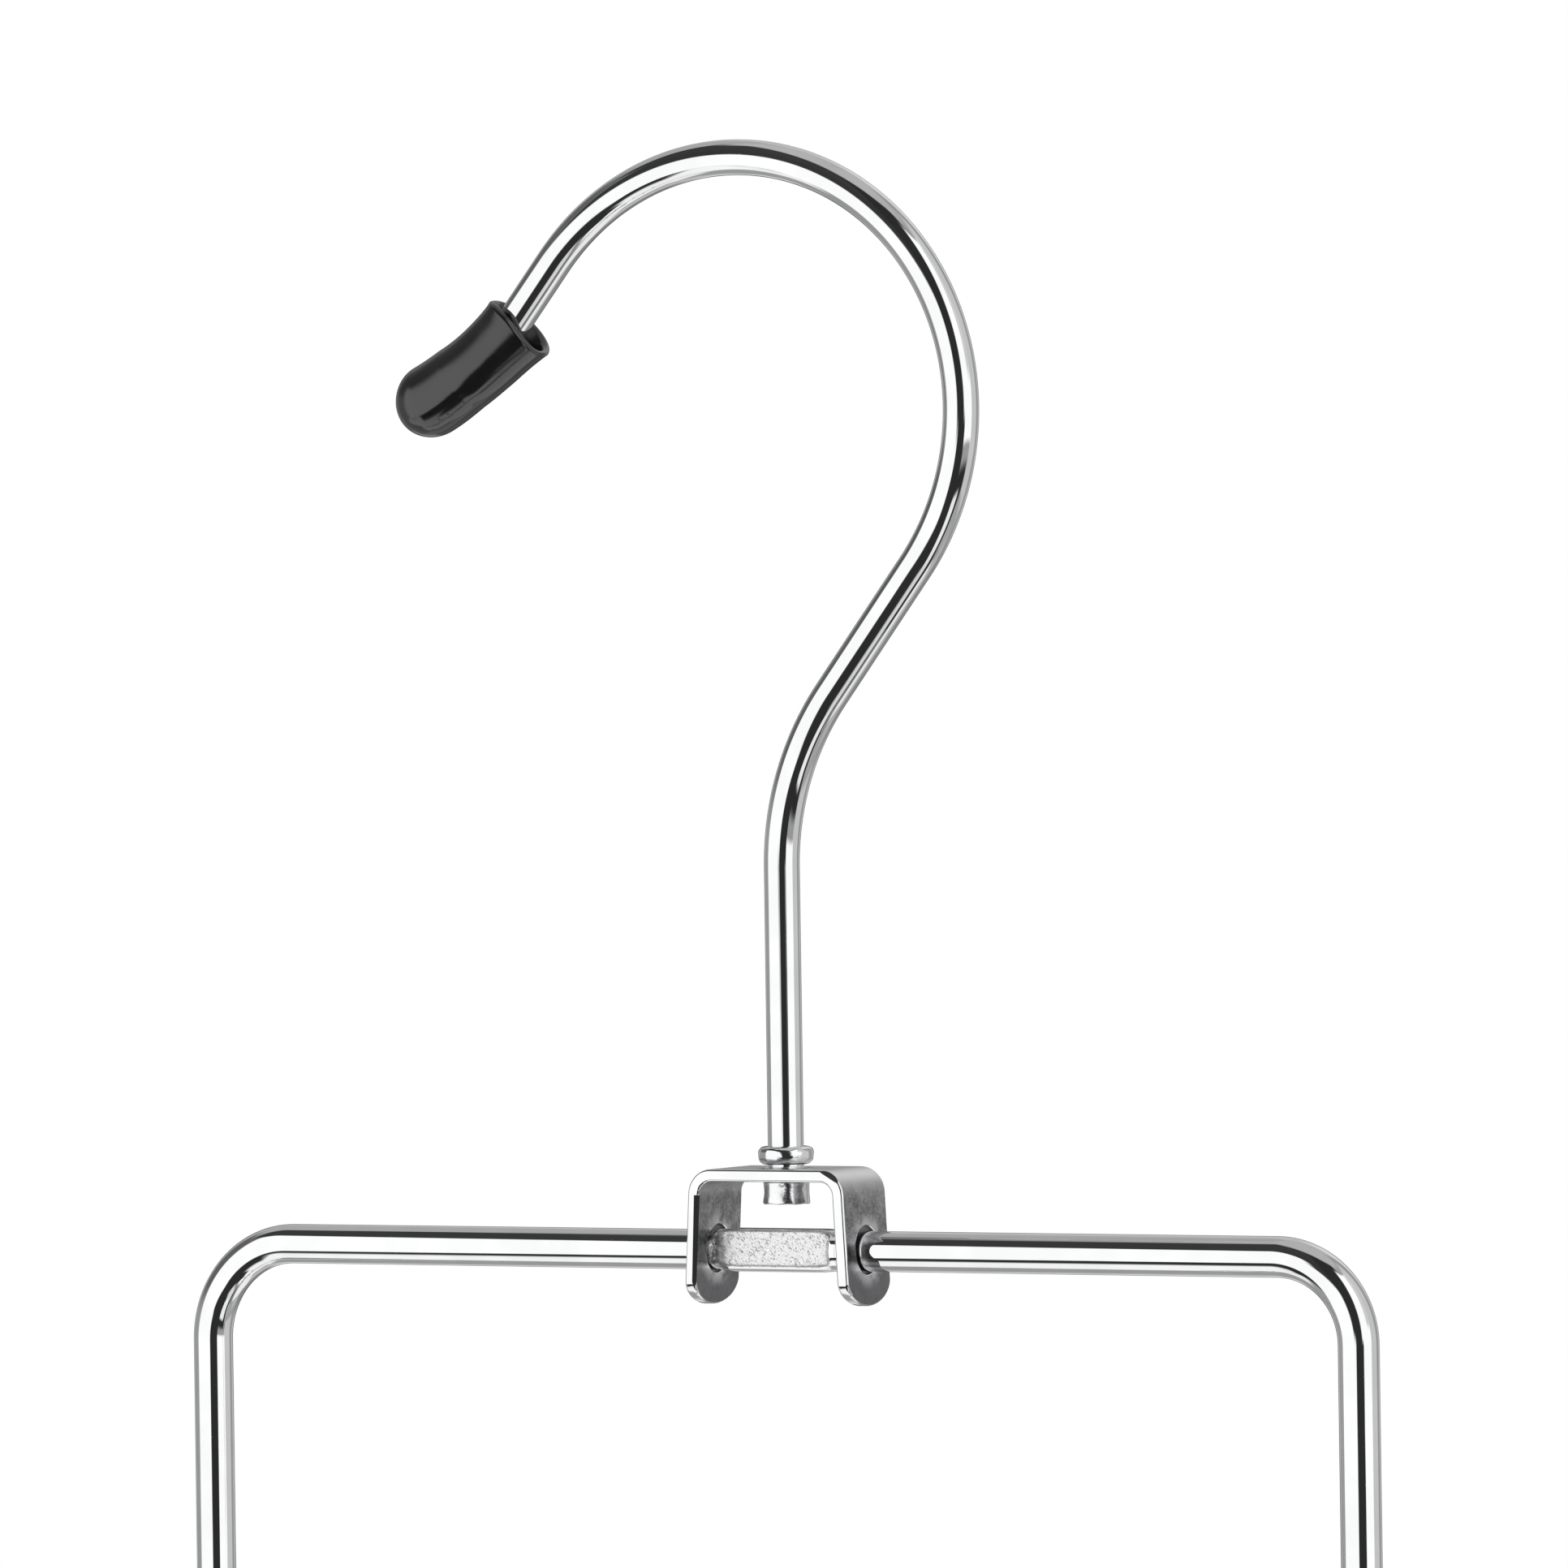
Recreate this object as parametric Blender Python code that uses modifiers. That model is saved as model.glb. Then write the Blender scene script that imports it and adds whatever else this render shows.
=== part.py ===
"""Tie and belt hanger: a wire hook that swivels in a U-shaped bracket, from which a wire ladder hangs.

Units are metres, +Z is up and -Y is the front. The origin is the rod seat, the highest point
of the hook's inner side, where the closet rod carries the hanger.
"""

import math

import bmesh
import bpy
from mathutils import Vector

# Wire diameters and the gap between pieces that touch on the real hanger.
HOOK_WIRE = 0.0040
FRAME_WIRE = 0.0045
TIE_BAR_WIRE = 0.0035
BELT_HOOK_WIRE = 0.0032
SEAT_GAP = 0.0003

# The hook. Radii are those of the wire's middle, angles are in degrees.
HOOK_RADIUS = 0.02873
HOOK_OFFSET = 0.00557
HOOK_DROP = 0.1107
SHANK_BEND_RADIUS = 0.03123
SHANK_BEND = 37.6
TIP_SLOPE = 38.8
TIP_STRAIGHT = 0.0076
TIP_BEND_RADIUS = 0.034
TIP_BEND = 25.8

# The upset collar that sits above the bracket, and the cupped rivet head that carries it.
COLLAR_DIAMETER = 0.0062
COLLAR_HEIGHT = 0.0020
COLLAR_TOP_CHAMFER = 0.0006
COLLAR_UNDERCUT = 0.0008
COLLAR_GAP = 0.0004
HEAD_DIAMETER = 0.0051
HEAD_FLARE = 0.0001
HEAD_HEIGHT = 0.0023
HEAD_CUP_DIAMETER = 0.0032
HEAD_CUP_DEPTH = 0.0009
NECK_IN_HEAD = 0.00077

# The soft cap on the hook's tip. It droops at its wide mouth.
CAP_LENGTH = 0.0178
CAP_END_WALL = 0.0034
CAP_MOUTH_DIAMETER = 0.0087
CAP_MOUTH_WALL = 0.0010
CAP_LIP = 0.0005
CAP_WAIST_DIAMETER = 0.0081
CAP_WAIST_PLACE = 0.0060
CAP_BODY_DIAMETER = 0.0084
CAP_DOME = 0.0044
CAP_SAG = 0.0007
CAP_SAG_LENGTH = 0.0090

# The bracket, bent from sheet.
SHEET = 0.0014
BRACKET_WIDTH = 0.0195
BRACKET_DEPTH = 0.0104
BRACKET_HEIGHT = 0.01525
BRACKET_BEND_RADIUS = 0.0029
EAR_SPLAY = 3.0
EAR_END_HEIGHT = 0.0029
EAR_HOLE = 0.0054
EAR_HOLE_DROP = 0.00905
WEB_HOLE = 0.0048
BRACKET_EDGE = 0.0002

# The frame, and the block pressed in its bar between the bracket's ears.
FRAME_WIDTH = 0.1446
CORNER_RADIUS = 0.0105
BLOCK_LENGTH = 0.0139
BLOCK_HEIGHT = 0.0048
BLOCK_THICKNESS = 0.0034
BLOCK_CORNER = 0.0009
BLOCK_RUNOUT = 0.0008
BLOCK_COLLAR = 0.0006
BLOCK_FLASH = 0.00003
BLOCK_OFFSET = 0.0015

# The tie bars, welded between the rails below the bar.
TIE_BAR_COUNT = 4
TIE_BAR_FIRST_DROP = 0.046
TIE_BAR_PITCH = 0.042
BELT_RAIL_DROP = 0.050

# The belt hooks, welded in turn to the front and the back of the lowest rail.
BELT_HOOK_COUNT = 6
BELT_HOOK_MARGIN = 0.0080
BELT_HOOK_RISE = 0.0030
BELT_HOOK_STEM = 0.0150
BELT_HOOK_RADIUS = 0.0080
BELT_HOOK_BEND = 160.0
BELT_HOOK_TIP = 0.0110
BELT_CAP_LENGTH = 0.0110
BELT_CAP_DIAMETER = 0.0060
BELT_CAP_MOUTH_DIAMETER = 0.0064
BELT_CAP_END_WALL = 0.0022
BELT_CAP_DOME = 0.0028

# How finely the round shapes are divided.
WIRE_SIDES = 16
THIN_WIRE_SIDES = 12
CAP_SIDES = 20
TURN_STEPS = 24
HOLE_SIDES = 32
BEND_STEP = 6.0
TIGHT_BEND_STEP = 15.0
BRACKET_BEND_STEPS = 6
EAR_END_STEPS = 16
COLLAR_STEPS = 4
CUP_STEPS = 2
CAP_RINGS = 14
CAP_LIP_STOPS = (0.05, 0.3)
CAP_DOME_ANGLES = (15, 30, 45, 60, 75, 86)
BELT_CAP_DOME_STEPS = 5
OVERRUN = 0.001
WELD_DISTANCE = 0.00001
SMOOTH_ANGLE = 32.0
BROKEN_EDGE_ANGLE = 50.0

# Places worked out from the sizes above, in the hanger's own frame.
WEB_TOP = -HOOK_DROP
PIVOT_SAG = (EAR_HOLE - FRAME_WIRE) / 2 - SEAT_GAP
PIVOT_DROP = EAR_HOLE_DROP + PIVOT_SAG
PIVOT_Z = WEB_TOP - PIVOT_DROP
SPLAY_SLOPE = math.tan(math.radians(EAR_SPLAY))
EAR_OUTER_AT_PIVOT = BRACKET_WIDTH / 2 + (PIVOT_DROP - BRACKET_BEND_RADIUS) * SPLAY_SLOPE
EAR_INNER_AT_PIVOT = EAR_OUTER_AT_PIVOT - SHEET / math.cos(math.radians(EAR_SPLAY))
BLOCK_HALF_SLOPE = BLOCK_HEIGHT / 2 * SPLAY_SLOPE
BLOCK_CENTRE = BLOCK_HALF_SLOPE + SEAT_GAP + BLOCK_LENGTH / 2 - EAR_INNER_AT_PIVOT
FRAME_CENTRE = BLOCK_CENTRE - BLOCK_OFFSET
FRAME_HEIGHT = TIE_BAR_FIRST_DROP + (TIE_BAR_COUNT - 1) * TIE_BAR_PITCH + BELT_RAIL_DROP


def clear_scene():
    """Remove every object, so that the model starts from an empty scene."""
    for item in list(bpy.data.objects):
        bpy.data.objects.remove(item, do_unlink=True)


def make_collection(name, parent=None):
    """A new collection under the scene's own, or under another one."""
    made = bpy.data.collections.new(name)
    (parent or bpy.context.scene.collection).children.link(made)
    return made


def metal(name, colour, roughness):
    """A polished or brushed metal."""
    return principled(name, colour, roughness, 1.0)


def principled(name, colour, roughness, metallic):
    """A Principled material with one colour, roughness and metallic value."""
    material = bpy.data.materials.new(name)
    material.use_nodes = True
    shader = material.node_tree.nodes["Principled BSDF"]
    shader.inputs["Base Color"].default_value = (*colour, 1.0)
    shader.inputs["Roughness"].default_value = roughness
    shader.inputs["Metallic"].default_value = metallic
    material.diffuse_color = (*colour, 1.0)
    return material


def add_object(name, data, home, material=None, parent=None, place=(0, 0, 0), turn=(0, 0, 0)):
    """Link a new object, placed in its parent's frame."""
    made = bpy.data.objects.new(name, data)
    home.objects.link(made)
    made.parent = parent
    made.location = place
    made.rotation_euler = turn
    if material and not data.materials:
        data.materials.append(material)
    return made


def add_axis(name, home, parent, place):
    """An empty on a joint's axis, which carries the pieces that the joint moves."""
    made = add_object(name, None, home, parent=parent, place=place)
    made.empty_display_size = 0.01
    return made


def hide_cutter(item):
    """Keep a cutter, or a shape that is joined to another, out of the render."""
    item.hide_render = True
    item.display_type = "WIRE"
    return item


def apply_boolean(target, other, operation):
    """Cut, join or trim a piece with another one. The modifier stays live."""
    modifier = target.modifiers.new(f"{operation.lower()} {other.name}", "BOOLEAN")
    modifier.operation = operation
    modifier.solver = "EXACT"
    modifier.object = hide_cutter(other)


def shade_round(mesh):
    """Smooth shading with sharp edges at the real corners."""
    mesh.shade_smooth()
    mesh.set_sharp_from_angle(angle=math.radians(SMOOTH_ANGLE))


def mesh_from(build, name):
    """A mesh filled by a function that works on a bmesh."""
    mesh = bpy.data.meshes.new(name)
    work = bmesh.new()
    build(work)
    work.to_mesh(mesh)
    work.free()
    return mesh


def direction(heading):
    """The unit vector in the XZ plane at an angle from +X towards +Z."""
    return Vector((math.cos(math.radians(heading)), 0, math.sin(math.radians(heading))))


def left_of(heading):
    """The unit vector a quarter turn to the left of a heading."""
    return direction(heading + 90)


def trace(start, heading, moves, bend_step):
    """Follow straight runs and bends in the XZ plane.

    A move is ("run", length) or ("bend", radius, turn), with a positive turn to the left.
    Returns a list of (point, heading) pairs.
    """
    point = Vector(start)
    places = [(point.copy(), heading)]
    for move in moves:
        if move[0] == "run":
            point = point + direction(heading) * move[1]
            places.append((point.copy(), heading))
            continue
        radius, turn = move[1:]
        side = math.copysign(1.0, turn)
        centre = point + left_of(heading) * radius * side
        steps = max(2, math.ceil(abs(turn) / bend_step))
        first = heading
        for step in range(1, steps + 1):
            heading = first + turn * step / steps
            point = centre - left_of(heading) * radius * side
            places.append((point.copy(), heading))
    return places


def points_of(places):
    return [point for point, _ in places]


def wire_curve(name, points, diameter, sides, widths=None, closed=False):
    """A round wire along a list of points, with a width for each point where it varies."""
    curve = bpy.data.curves.new(name, "CURVE")
    curve.dimensions = "3D"
    curve.bevel_depth = diameter / 2
    curve.bevel_resolution = (sides - 4) // 2
    curve.use_fill_caps = not closed
    spline = curve.splines.new("POLY")
    spline.points.add(len(points) - 1)
    for index, point in enumerate(points):
        spline.points[index].co = (*point, 1.0)
        if widths:
            spline.points[index].radius = widths[index] / diameter
    spline.use_cyclic_u = closed
    return curve


def as_mesh_object(item):
    """Turn a curve object into a mesh object with welded caps, in the same place."""
    evaluated = item.evaluated_get(bpy.context.evaluated_depsgraph_get())
    mesh = bpy.data.meshes.new_from_object(evaluated)
    work = bmesh.new()
    work.from_mesh(mesh)
    bmesh.ops.remove_doubles(work, verts=work.verts, dist=WELD_DISTANCE)
    bmesh.ops.recalc_face_normals(work, faces=work.faces)
    work.to_mesh(mesh)
    work.free()
    shade_round(mesh)
    name, homes, parent = item.name, list(item.users_collection), item.parent
    matrix = item.matrix_world.copy()
    bpy.data.objects.remove(item, do_unlink=True)
    made = bpy.data.objects.new(name, mesh)
    for home in homes:
        home.objects.link(made)
    made.parent = parent
    made.matrix_world = matrix
    return made


def add_turned(name, profile, home, material=None, parent=None, place=(0, 0, 0), turn=(0, 0, 0)):
    """A shape turned round its own Z axis from a profile of (radius, height) points, top first."""

    def build(work):
        corners = [work.verts.new((radius, 0, height)) for radius, height in profile]
        for first, second in zip(corners, corners[1:]):
            work.edges.new((first, second))

    made = add_object(name, mesh_from(build, name), home, material, parent, place, turn)
    screw = made.modifiers.new("turn", "SCREW")
    screw.steps = TURN_STEPS
    screw.render_steps = TURN_STEPS
    screw.use_merge_vertices = True
    screw.merge_threshold = WELD_DISTANCE
    screw.use_smooth_shade = True
    return made


def add_round_cutter(name, diameter, length, home, parent, place, turn=(0, 0, 0)):
    """A plain cylinder that drills a hole along its own Z axis."""

    def build(work):
        bmesh.ops.create_cone(
            work,
            cap_ends=True,
            segments=HOLE_SIDES,
            radius1=diameter / 2,
            radius2=diameter / 2,
            depth=length,
        )

    return add_object(name, mesh_from(build, name), home, None, parent, place, turn)


def quarter_round(centre_radius, centre_height, radius, height, start, end, steps):
    """Points of an elliptical arc in a turned profile, with angles in degrees from outwards."""
    points = []
    for step in range(steps + 1):
        angle = math.radians(start + (end - start) * step / steps)
        across = centre_radius + radius * math.cos(angle)
        points.append((across, centre_height + height * math.sin(angle)))
    return points


def hook_places():
    """The middle line of the hook's wire, from inside the rivet head to the tip."""
    lean = math.radians(SHANK_BEND)
    reach = HOOK_RADIUS * math.cos(lean) - HOOK_OFFSET
    shank_reach = SHANK_BEND_RADIUS * (1 - math.cos(lean))
    slant = (reach - shank_reach) / math.sin(lean)
    hook_centre_z = HOOK_WIRE / 2 - HOOK_RADIUS
    rise = (SHANK_BEND_RADIUS + HOOK_RADIUS) * math.sin(lean) + slant * math.cos(lean)
    start_z = WEB_TOP - SHEET - SEAT_GAP - NECK_IN_HEAD
    moves = [
        ("run", hook_centre_z - rise - start_z),
        ("bend", SHANK_BEND_RADIUS, -SHANK_BEND),
        ("run", slant),
        ("bend", HOOK_RADIUS, 180 - TIP_SLOPE + SHANK_BEND),
        ("run", TIP_STRAIGHT),
        ("bend", TIP_BEND_RADIUS, -TIP_BEND),
    ]
    return trace((HOOK_OFFSET, 0, start_z), 90.0, moves, BEND_STEP)


def make_hook(home, cutters, material):
    """The hook's wire with its collar and rivet head, all one piece of metal."""
    curve = wire_curve("hook_wire", points_of(hook_places()), HOOK_WIRE, WIRE_SIDES)
    hook = as_mesh_object(add_object("hook_wire", curve, home, material))

    outer = COLLAR_DIAMETER / 2
    bottom = WEB_TOP + COLLAR_GAP
    top = bottom + COLLAR_HEIGHT
    collar = [(0, top), (outer - COLLAR_TOP_CHAMFER, top), (outer, top - COLLAR_TOP_CHAMFER)]
    inner, low = outer - COLLAR_UNDERCUT, bottom + COLLAR_UNDERCUT
    collar += quarter_round(inner, low, COLLAR_UNDERCUT, COLLAR_UNDERCUT, 0, -90, COLLAR_STEPS)
    collar += [(0, bottom)]
    ring = add_turned("hook_collar_form", collar, cutters, place=(HOOK_OFFSET, 0, 0))
    apply_boolean(hook, ring, "UNION")

    top = WEB_TOP - SHEET - SEAT_GAP
    bottom = top - HEAD_HEIGHT
    head = [(0, top), (HEAD_DIAMETER / 2, top), (HEAD_DIAMETER / 2 + HEAD_FLARE, bottom)]
    for step in range(CUP_STEPS + 1):
        share = 1 - step / CUP_STEPS
        head.append((HEAD_CUP_DIAMETER / 2 * share, bottom + HEAD_CUP_DEPTH * (1 - share**2)))
    rivet = add_turned("hook_head_form", head, cutters, place=(HOOK_OFFSET, 0, 0))
    apply_boolean(hook, rivet, "UNION")
    return hook


def cap_width(distance):
    """The tip cap's outer diameter at a distance from its mouth."""
    if distance <= CAP_WAIST_PLACE:
        share = 1 - distance / CAP_WAIST_PLACE
        flare = CAP_WAIST_DIAMETER + (CAP_MOUTH_DIAMETER - CAP_WAIST_DIAMETER) * share**2
        lip = max(0.0, 1 - distance / CAP_LIP)
        return flare - 2 * CAP_LIP * (1 - math.sqrt(1 - lip**2))
    dome_start = CAP_LENGTH - CAP_DOME
    if distance <= dome_start:
        share = (distance - CAP_WAIST_PLACE) / (dome_start - CAP_WAIST_PLACE)
        swell = (1 - math.cos(math.pi * share)) / 2
        return CAP_WAIST_DIAMETER + (CAP_BODY_DIAMETER - CAP_WAIST_DIAMETER) * swell
    share = (distance - dome_start) / CAP_DOME
    return CAP_BODY_DIAMETER * math.sqrt(max(0.0, 1 - share**2))


def cap_axis(distance):
    """A point of the tip cap's middle line, at a distance from its mouth."""
    tip, heading = hook_places()[-1]
    covered = CAP_LENGTH - CAP_END_WALL - SEAT_GAP
    turn = math.degrees((covered - distance) / TIP_BEND_RADIUS)
    centre = tip - left_of(heading) * TIP_BEND_RADIUS
    here = heading + turn
    point = centre + left_of(here) * TIP_BEND_RADIUS
    droop = CAP_SAG * max(0.0, 1 - max(0.0, distance) / CAP_SAG_LENGTH)
    return point + left_of(here) * droop


def make_hook_cap(home, cutters, material):
    """The soft cap pushed on the hook's tip, with a loose, drooping mouth."""
    body_end = CAP_LENGTH - CAP_DOME
    stops = [CAP_LIP * share for share in CAP_LIP_STOPS]
    stops += [CAP_LIP + (body_end - CAP_LIP) * step / CAP_RINGS for step in range(CAP_RINGS + 1)]
    stops += [body_end + CAP_DOME * math.sin(math.radians(angle)) for angle in CAP_DOME_ANGLES]
    points = [cap_axis(stop) for stop in stops]
    widths = [cap_width(stop) for stop in stops]
    curve = wire_curve("hook_tip_cap", points, CAP_BODY_DIAMETER, CAP_SIDES, widths)
    cap = as_mesh_object(add_object("hook_tip_cap", curve, home, material))

    bore_end = CAP_LENGTH - CAP_END_WALL
    tight = HOOK_WIRE + 2 * SEAT_GAP
    wide = CAP_MOUTH_DIAMETER - 2 * CAP_MOUTH_WALL
    steps = CAP_RINGS // 2
    stops = [-OVERRUN] + [CAP_SAG_LENGTH * step / steps for step in range(steps + 1)]
    stops += [bore_end]
    widths = [tight + (wide - tight) * (1 - min(1.0, max(0.0, s) / CAP_SAG_LENGTH)) for s in stops]
    points = [cap_axis(stop) for stop in stops]
    bore = wire_curve("hook_tip_cap_bore", points, tight, CAP_SIDES, widths)
    cutter = as_mesh_object(add_object("hook_tip_cap_bore", bore, cutters))
    apply_boolean(cap, cutter, "DIFFERENCE")
    return cap


def bracket_outline():
    """The bracket's outer line seen from the front, from the left ear's end to the right one's."""
    turn = 90 - EAR_SPLAY
    web_half = BRACKET_WIDTH / 2 - BRACKET_BEND_RADIUS
    moves = [
        ("bend", BRACKET_BEND_RADIUS, -turn),
        ("run", BRACKET_HEIGHT + OVERRUN - BRACKET_BEND_RADIUS),
    ]
    right = points_of(trace((web_half, 0, 0), 0.0, moves, turn / BRACKET_BEND_STEPS))
    left = [Vector((-point.x, 0, point.z)) for point in reversed(right)]
    return left + right


def make_bracket(home, cutters, material, axis):
    """The U-shaped bracket: a web that turns on the hook's neck, and two ears for the frame's bar."""
    half_depth = BRACKET_DEPTH / 2

    def build(work):
        rows = []
        for point in bracket_outline():
            front = work.verts.new((point.x, -half_depth, point.z))
            back = work.verts.new((point.x, half_depth, point.z))
            rows.append((front, back))
        for (front, back), (next_front, next_back) in zip(rows, rows[1:]):
            work.faces.new((front, next_front, next_back, back))

    bracket = add_object("swivel_bracket", mesh_from(build, "swivel_bracket"), home, material, axis)
    shell = bracket.modifiers.new("sheet", "SOLIDIFY")
    shell.thickness = SHEET
    shell.offset = -1.0
    shell.use_even_offset = True

    outline = bpy.data.curves.new("ear_outline", "CURVE")
    outline.dimensions = "2D"
    outline.fill_mode = "BOTH"
    outline.extrude = BRACKET_WIDTH
    spline = outline.splines.new("POLY")
    side = half_depth + WELD_DISTANCE * 2
    shoulder = BRACKET_HEIGHT - EAR_END_HEIGHT
    corners = [(-OVERRUN, side), (-OVERRUN, -side)]
    for step in range(EAR_END_STEPS + 1):
        angle = math.radians(-90 + 180 * step / EAR_END_STEPS)
        corners.append((shoulder + EAR_END_HEIGHT * math.cos(angle), side * math.sin(angle)))
    spline.points.add(len(corners) - 1)
    for index, corner in enumerate(corners):
        spline.points[index].co = (*corner, 0, 1)
    spline.use_cyclic_u = True
    form = add_object("ear_outline", outline, cutters, parent=axis, turn=(0, math.radians(90), 0))
    bpy.context.view_layer.update()
    apply_boolean(bracket, as_mesh_object(form), "INTERSECT")

    place, turn = (0, 0, -EAR_HOLE_DROP), (0, math.radians(90), 0)
    length = BRACKET_WIDTH * 2
    ear_hole = add_round_cutter("ear_hole", EAR_HOLE, length, cutters, axis, place, turn)
    apply_boolean(bracket, ear_hole, "DIFFERENCE")
    web_hole = add_round_cutter("web_hole", WEB_HOLE, SHEET * 4, cutters, axis, (0, 0, 0))
    apply_boolean(bracket, web_hole, "DIFFERENCE")

    edge = bracket.modifiers.new("broken edges", "BEVEL")
    edge.width = BRACKET_EDGE
    edge.segments = 1
    edge.limit_method = "ANGLE"
    edge.angle_limit = math.radians(BROKEN_EDGE_ANGLE)
    return bracket


def block_section(half_height, half_thickness, corner):
    """A rounded rectangle in the YZ plane, as a list of WIRE_SIDES corners."""
    points = []
    per_corner = WIRE_SIDES // 4
    for index in range(WIRE_SIDES):
        quarter = index // per_corner
        angle = math.radians(90 * quarter + 90 * (index % per_corner) / (per_corner - 1))
        middle_y = (half_thickness - corner) * (1 if quarter in (0, 3) else -1)
        middle_z = (half_height - corner) * (1 if quarter in (0, 1) else -1)
        points.append((middle_y + corner * math.cos(angle), middle_z + corner * math.sin(angle)))
    return points


def make_frame(home, cutters, material, axis):
    """The closed frame of round wire, and the block pressed in the middle of its bar."""
    half = FRAME_WIDTH / 2
    left, right = FRAME_CENTRE - half, FRAME_CENTRE + half
    block_end = BLOCK_LENGTH / 2 + BLOCK_RUNOUT + BLOCK_COLLAR / 2
    corner = ("bend", CORNER_RADIUS, -90)
    moves = [
        ("run", right - CORNER_RADIUS - BLOCK_CENTRE - block_end),
        corner,
        ("run", FRAME_HEIGHT - 2 * CORNER_RADIUS),
        corner,
        ("run", FRAME_WIDTH - 2 * CORNER_RADIUS),
        corner,
        ("run", FRAME_HEIGHT - 2 * CORNER_RADIUS),
        corner,
        ("run", BLOCK_CENTRE - block_end - left - CORNER_RADIUS),
    ]
    line = points_of(trace((BLOCK_CENTRE + block_end, 0, 0), 0.0, moves, TIGHT_BEND_STEP))
    curve = wire_curve("frame_wire", line, FRAME_WIRE, WIRE_SIDES)
    frame = as_mesh_object(add_object("frame_wire", curve, home, material, axis))

    round_half = FRAME_WIRE / 2 + BLOCK_FLASH
    round_section = block_section(round_half, round_half, round_half)
    pressed = block_section(BLOCK_HEIGHT / 2, BLOCK_THICKNESS / 2, BLOCK_CORNER)
    flat_half = BLOCK_LENGTH / 2
    run_half = flat_half + BLOCK_RUNOUT
    stations = [
        (-run_half - BLOCK_COLLAR, round_section),
        (-run_half, round_section),
        (-flat_half, pressed),
        (flat_half, pressed),
        (run_half, round_section),
        (run_half + BLOCK_COLLAR, round_section),
    ]

    def build(work):
        rings = [[work.verts.new((x, *corner)) for corner in section] for x, section in stations]
        for first, second in zip(rings, rings[1:]):
            for index in range(WIRE_SIDES):
                after = (index + 1) % WIRE_SIDES
                work.faces.new((first[index], first[after], second[after], second[index]))
        work.faces.new(rings[0])
        work.faces.new(rings[-1])
        bmesh.ops.recalc_face_normals(work, faces=work.faces)

    mesh = mesh_from(build, "pressed_block_form")
    block = add_object("pressed_block_form", mesh, cutters, None, axis, (BLOCK_CENTRE, 0, 0))
    apply_boolean(frame, block, "UNION")
    return frame


def make_tie_bars(home, material, axis):
    """The straight bars between the rails, over which ties hang."""
    half = (FRAME_WIDTH - FRAME_WIRE) / 2 - SEAT_GAP
    ends = [Vector((-half, 0, 0)), Vector((half, 0, 0))]
    curve = wire_curve("tie_bar", ends, TIE_BAR_WIRE, WIRE_SIDES)
    for index in range(TIE_BAR_COUNT):
        drop = TIE_BAR_FIRST_DROP + index * TIE_BAR_PITCH
        place = (FRAME_CENTRE, 0, -drop)
        add_object(f"tie_bar_{index + 1}", curve, home, material, axis, place)


def belt_hook_places():
    """The middle line of a belt hook, in its own plane, from the stem's top to the bare tip."""
    moves = [
        ("run", BELT_HOOK_RISE + BELT_HOOK_STEM),
        ("bend", BELT_HOOK_RADIUS, BELT_HOOK_BEND),
        ("run", BELT_HOOK_TIP),
    ]
    return trace((0, 0, BELT_HOOK_RISE), -90.0, moves, TIGHT_BEND_STEP)


def add_belt_cap(name, home, material, hook):
    """The soft cap on a belt hook's tip. Its own Z axis is the tip's direction."""
    tip, heading = belt_hook_places()[-1]
    bore = BELT_HOOK_WIRE / 2 + SEAT_GAP
    outer = BELT_CAP_DIAMETER / 2
    mouth = BELT_CAP_MOUTH_DIAMETER / 2
    top = SEAT_GAP + BELT_CAP_END_WALL
    bottom = top - BELT_CAP_LENGTH
    dome_base = top - BELT_CAP_DOME
    profile = quarter_round(0, dome_base, outer, BELT_CAP_DOME, 90, 0, BELT_CAP_DOME_STEPS)
    profile[0] = (0, top)
    profile += [(mouth, bottom + mouth - outer), (mouth, bottom), (bore, bottom)]
    profile += [(bore, SEAT_GAP), (0, SEAT_GAP)]
    turn = (0, math.radians(90 - heading), 0)
    return add_turned(name, profile, home, material, hook, tip, turn)


def make_belt_hooks(home, wire_material, cap_material, axis):
    """The J-shaped belt hooks, facing the front and the back in turn, each with its cap."""
    points = points_of(belt_hook_places())
    curve = wire_curve("belt_hook", points, BELT_HOOK_WIRE, THIN_WIRE_SIDES)
    reach = FRAME_WIDTH / 2 - CORNER_RADIUS - BELT_HOOK_MARGIN
    pitch = 2 * reach / (BELT_HOOK_COUNT - 1)
    stand_off = (FRAME_WIRE + BELT_HOOK_WIRE) / 2 + SEAT_GAP
    for index in range(BELT_HOOK_COUNT):
        facing = -1 if index % 2 == 0 else 1
        place = (FRAME_CENTRE - reach + index * pitch, facing * stand_off, -FRAME_HEIGHT)
        turn = (0, 0, math.radians(90 * facing))
        name = f"belt_hook_{index + 1}"
        hook = add_object(name, curve, home, wire_material, axis, place, turn)
        add_belt_cap(f"belt_hook_cap_{index + 1}", home, cap_material, hook)


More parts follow.
